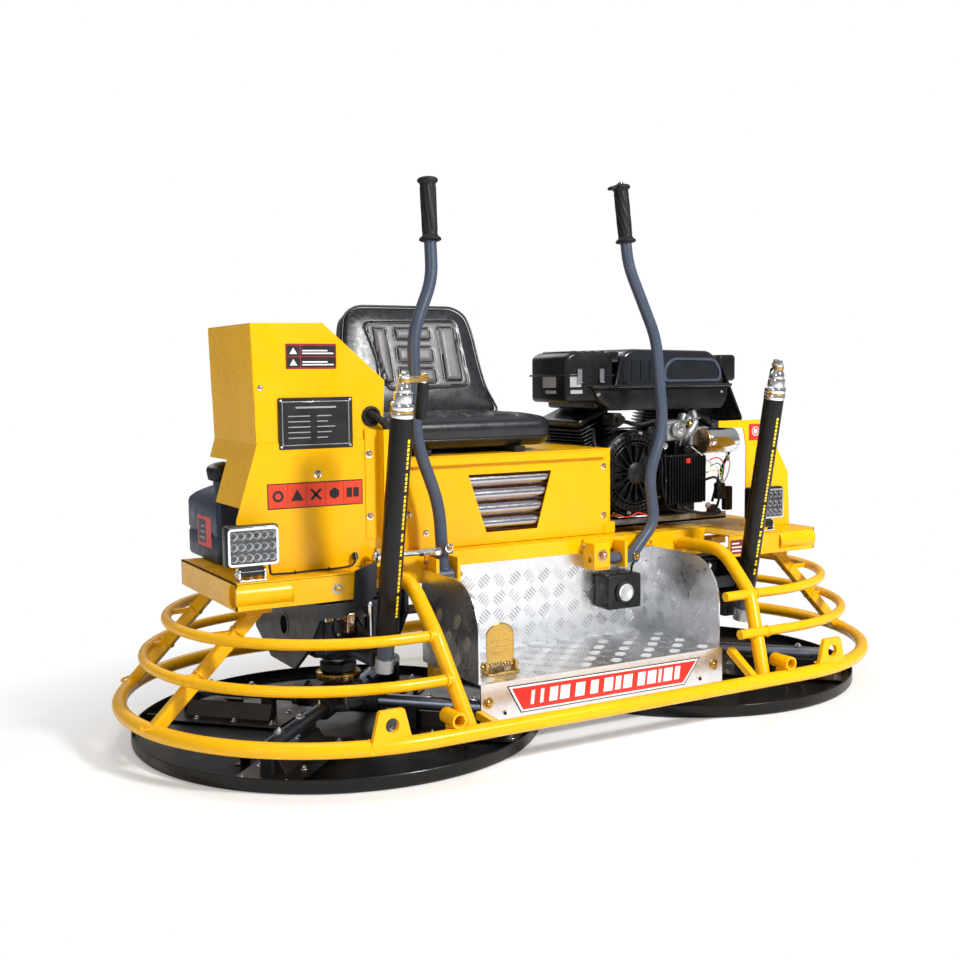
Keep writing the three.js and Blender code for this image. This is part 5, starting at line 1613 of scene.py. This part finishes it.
def pillow(name, rings, size):
    """A closed form, remeshed to an even skin that a cloth simulation can fill."""
    mesh = bmesh.new()
    n = len(rings[0])
    verts = [mesh.verts.new(Vector(q) * MM) for ring in rings for q in ring]
    for k in range(len(rings) - 1):
        for i in range(n):
            a, b = k * n + i, k * n + (i + 1) % n
            mesh.faces.new([verts[a], verts[b], verts[b + n], verts[a + n]])
    mesh.faces.new([verts[i] for i in range(n)][::-1])
    mesh.faces.new(verts[-n:])
    bmesh.ops.recalc_face_normals(mesh, faces=mesh.faces)
    data = bpy.data.meshes.new(name)
    mesh.to_mesh(data)
    mesh.free()
    piece = bpy.data.objects.new(name, data)
    bpy.context.scene.collection.objects.link(piece)
    remesh = piece.modifiers.new("remesh", "REMESH")
    remesh.mode = "VOXEL"
    remesh.voxel_size = size * MM
    smooth = piece.modifiers.new("smooth", "SMOOTH")
    smooth.factor = 0.5
    smooth.iterations = 8
    apply_modifiers(piece)
    return piece


def apply_modifiers(piece):
    shape = bpy.data.meshes.new_from_object(piece.evaluated_get(bpy.context.evaluated_depsgraph_get()))
    old = piece.data
    piece.modifiers.clear()
    piece.data = shape
    bpy.data.meshes.remove(old)


def inflate(piece, held, limit, pressure=4.0, frames=20):
    """Fills the skin by a cloth simulation. held(point) is how firmly a point stays, from 0 to 1,
    and no point moves further than the limit.
    """
    before = [v.co.copy() for v in piece.data.vertices]
    grip = piece.vertex_groups.new(name="held")
    for v in piece.data.vertices:
        grip.add([v.index], held(v.co / MM), "REPLACE")
    cloth = piece.modifiers.new("fill", "CLOTH")
    cloth.settings.use_pressure = True
    cloth.settings.uniform_pressure_force = pressure
    cloth.settings.effector_weights.gravity = 0
    cloth.settings.vertex_group_mass = "held"
    cloth.settings.pin_stiffness = 1
    cloth.settings.tension_stiffness = 25
    cloth.settings.compression_stiffness = 25
    cloth.settings.bending_stiffness = 2
    cloth.point_cache.frame_start = 1
    cloth.point_cache.frame_end = frames
    for frame_number in range(1, frames + 1):
        bpy.context.scene.frame_set(frame_number)
    apply_modifiers(piece)
    bpy.context.scene.frame_set(1)
    for v, start in zip(piece.data.vertices, before):
        moved = v.co - start
        if moved.length > limit * MM:
            v.co = start + moved.normalized() * limit * MM
    piece.vertex_groups.clear()


def inside(u, v, outline):
    """How far inside a closed outline a point lies, in mm; negative outside."""
    nearest, odd = 1e9, False
    for (x0, y0), (x1, y1) in zip(outline, outline[1:] + outline[:1]):
        dx, dy = x1 - x0, y1 - y0
        t = min(1, max(0, ((u - x0) * dx + (v - y0) * dy) / (dx * dx + dy * dy)))
        nearest = min(nearest, math.hypot(u - x0 - t * dx, v - y0 - t * dy))
        if (y0 > v) != (y1 > v) and u < x0 + (v - y0) * dx / dy:
            odd = not odd
    return nearest if odd else -nearest


def sewn(piece, place, pads, seams, width=5.0):
    """Presses seams into the skin and raises the pads, on the side that faces -Y of the place."""
    data = piece.data
    home = place.inverted()
    shifts = []
    for v in data.vertices:
        q = home @ (v.co / MM)
        lift = 0.0
        for outline, height in pads:
            lift += height * smooth_step(inside(q.x, q.z, outline), -2, 12)
        for outline, sink in seams:
            lift -= sink * (1 - smooth_step(abs(inside(q.x, q.z, outline)), 0, width))
        facing = smooth_step(-(home.to_3x3() @ v.normal).y, 0.15, 0.6)
        shifts.append(v.normal * lift * facing * MM)
    for v, shift in zip(data.vertices, shifts):
        v.co += shift


def finish_soft(piece, looks, choose, node):
    """Gives a pad its materials, chosen by face, and its place on the seat."""
    data = piece.data
    for look in looks:
        data.materials.append(look)
    for face in data.polygons:
        face.use_smooth = True
        face.material_index = choose(face.center / MM, face.normal)
    finer = piece.modifiers.new("finer", "SUBSURF")
    finer.levels = finer.render_levels = 1
    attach(piece, "seat")
    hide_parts(node)


def piping(name, line, r):
    """A round bead sewn along an edge of the seat."""
    p = Piece(name, LEATHER)
    p.tube(line, r, 12, looped=True)
    p.done("seat", bevel=0)


HALF_BACK = [(100, -3), (228, -3), (244, 8), (234, 34), (217, 72), (207, 126), (197, 229), (184, 282),
             (146, 305)]
BACK_OUTLINE = HALF_BACK + [(-u, v) for u, v in reversed(HALF_BACK)]
BACK_PANEL = [(-133, 254), (143, 260), (158, 80), (-83, 70)]
BACK_PADS = [
    [(-112, 241), (-72, 241), (-68, 87), (-104, 87)],
    [(85, 245), (135, 245), (142, 90), (88, 90)],
    *[[(-48, top), (60, top), (62, low), (-46, low)] for low, top in ((208, 241), (145, 187), (85, 128))],
]


def backrest():
    shape = smooth_outline(BACK_OUTLINE, 42, 6)
    rings = []
    for y, inset in ((-14, 12), (-10, 5), (0, 0), (38, 0), (48, 5), (52, 12)):
        rings.append([REST_TILT @ Vector((u * (1 - inset / 244), y, 150 + (v - 150) * (1 - inset / 155)))
                      for u, v in shape])
    piece = pillow("seat_back_cushion", rings, 5)
    home = REST_TILT.inverted()

    def held(point):
        q = home @ point
        return max(smooth_step(q.y, 24, 42), 1 - smooth_step(inside(q.x, q.z, BACK_OUTLINE), 0, 16))

    inflate(piece, held, 11)
    panel = smooth_outline(BACK_PANEL, 16, 4)
    pads = [smooth_outline(pad, 9, 4) for pad in BACK_PADS]
    seams = [(panel, 4.5)] + [(pad, 3.2) for pad in pads]
    sewn(piece, REST_TILT, [(pad, 5.0) for pad in pads], seams)

    # Forward faces inside the panel, pads included, get the grey vinyl, which is a painted sheen of reflected
    # light on the black seat. The seams and the rim keep the seat's black.
    def choose(centre, normal):
        q = home @ centre
        if (home.to_3x3() @ normal).y > -0.3 or inside(q.x, q.z, panel) < 3:
            return 0
        return 0 if any(abs(inside(q.x, q.z, pad)) < 3.5 for pad in pads) else 1

    finish_soft(piece, (LEATHER, SHEEN_PAINTED_VINYL), choose, "seat_backrest")
    edge = [REST_TILT @ Vector((u, -9, v)) for u, v in smooth_outline(BACK_OUTLINE, 42, 6)]
    piping("seat_back_piping", edge, 3.4)
    shell = Piece("seat_back_shell", PLASTIC, REST_TILT)
    inner = [(u * 0.93, 150 + (v - 150) * 0.92) for u, v in shape]
    shell.rings([[(u, y, v) for u, v in inner] for y in (46, 54)])
    for v in (70, 210):
        shell.use(STEEL)
        for u in (-110, 110):
            shell.bolt((u, 54, v), (0, 1, 0), 6, STEEL, STEEL)
    shell.done("seat", bevel=2.5)


def cushion():
    x0, x1, y0, y1, z0, z1 = SEAT_X - 243, SEAT_X + 243, -48, 288, 664, 738
    rings = []
    for z, inset, front in ((z0, 8, 26), (z0 + 6, 2, 16), (z0 + 20, 0, 4), (z1 - 26, 0, 0), (z1 - 10, 6, 6),
                            (z1, 18, 22)):
        outline = rounded(x0 + inset, y0 + front, x1 - inset, y1 - inset, 52 - inset, 6)
        rings.append([(x, y, z) for x, y in outline])
    piece = pillow("seat_cushion_pad", rings, 5)

    def held(q):
        rim = min(q.x - x0, x1 - q.x, q.y - y0, y1 - q.y)
        return 1 if q.z < z0 + 16 else 1 - smooth_step(q.z, z0 + 16, z1 - 22) * smooth_step(rim, -2, 16)

    inflate(piece, held, 9)
    top = Matrix.Translation((SEAT_X, 120, z1)) @ Matrix.Rotation(math.radians(-90), 4, "X")
    middle = rounded(-150, -140, 150, 118, 30, 6)
    strips = [rounded(-134 + 70 * k, -128, -76 + 70 * k, 108, 14, 5) for k in range(4)]
    seams = [(middle, 4.0)] + [(strip, 2.0) for strip in strips]
    sewn(piece, top, [(strip, 3.0) for strip in strips], seams)
    finish_soft(piece, (LEATHER,), lambda centre, normal: 0, "seat_cushion")
    low = [(x, y, z0 + 20) for x, y in rounded(x0 - 0.5, y0 + 3.5, x1 + 0.5, y1 + 0.5, 52, 6)]
    piping("seat_piping", low, 3.2)
    base = Piece("seat_pan", PLASTIC)
    outline = rounded(x0 + 12, y0 + 30, x1 - 12, y1 - 12, 40, 6)
    base.rings([[(x, y, z) for x, y in outline] for z in (662.4, 668)])
    base.done("seat", bevel=1)


backrest()
cushion()
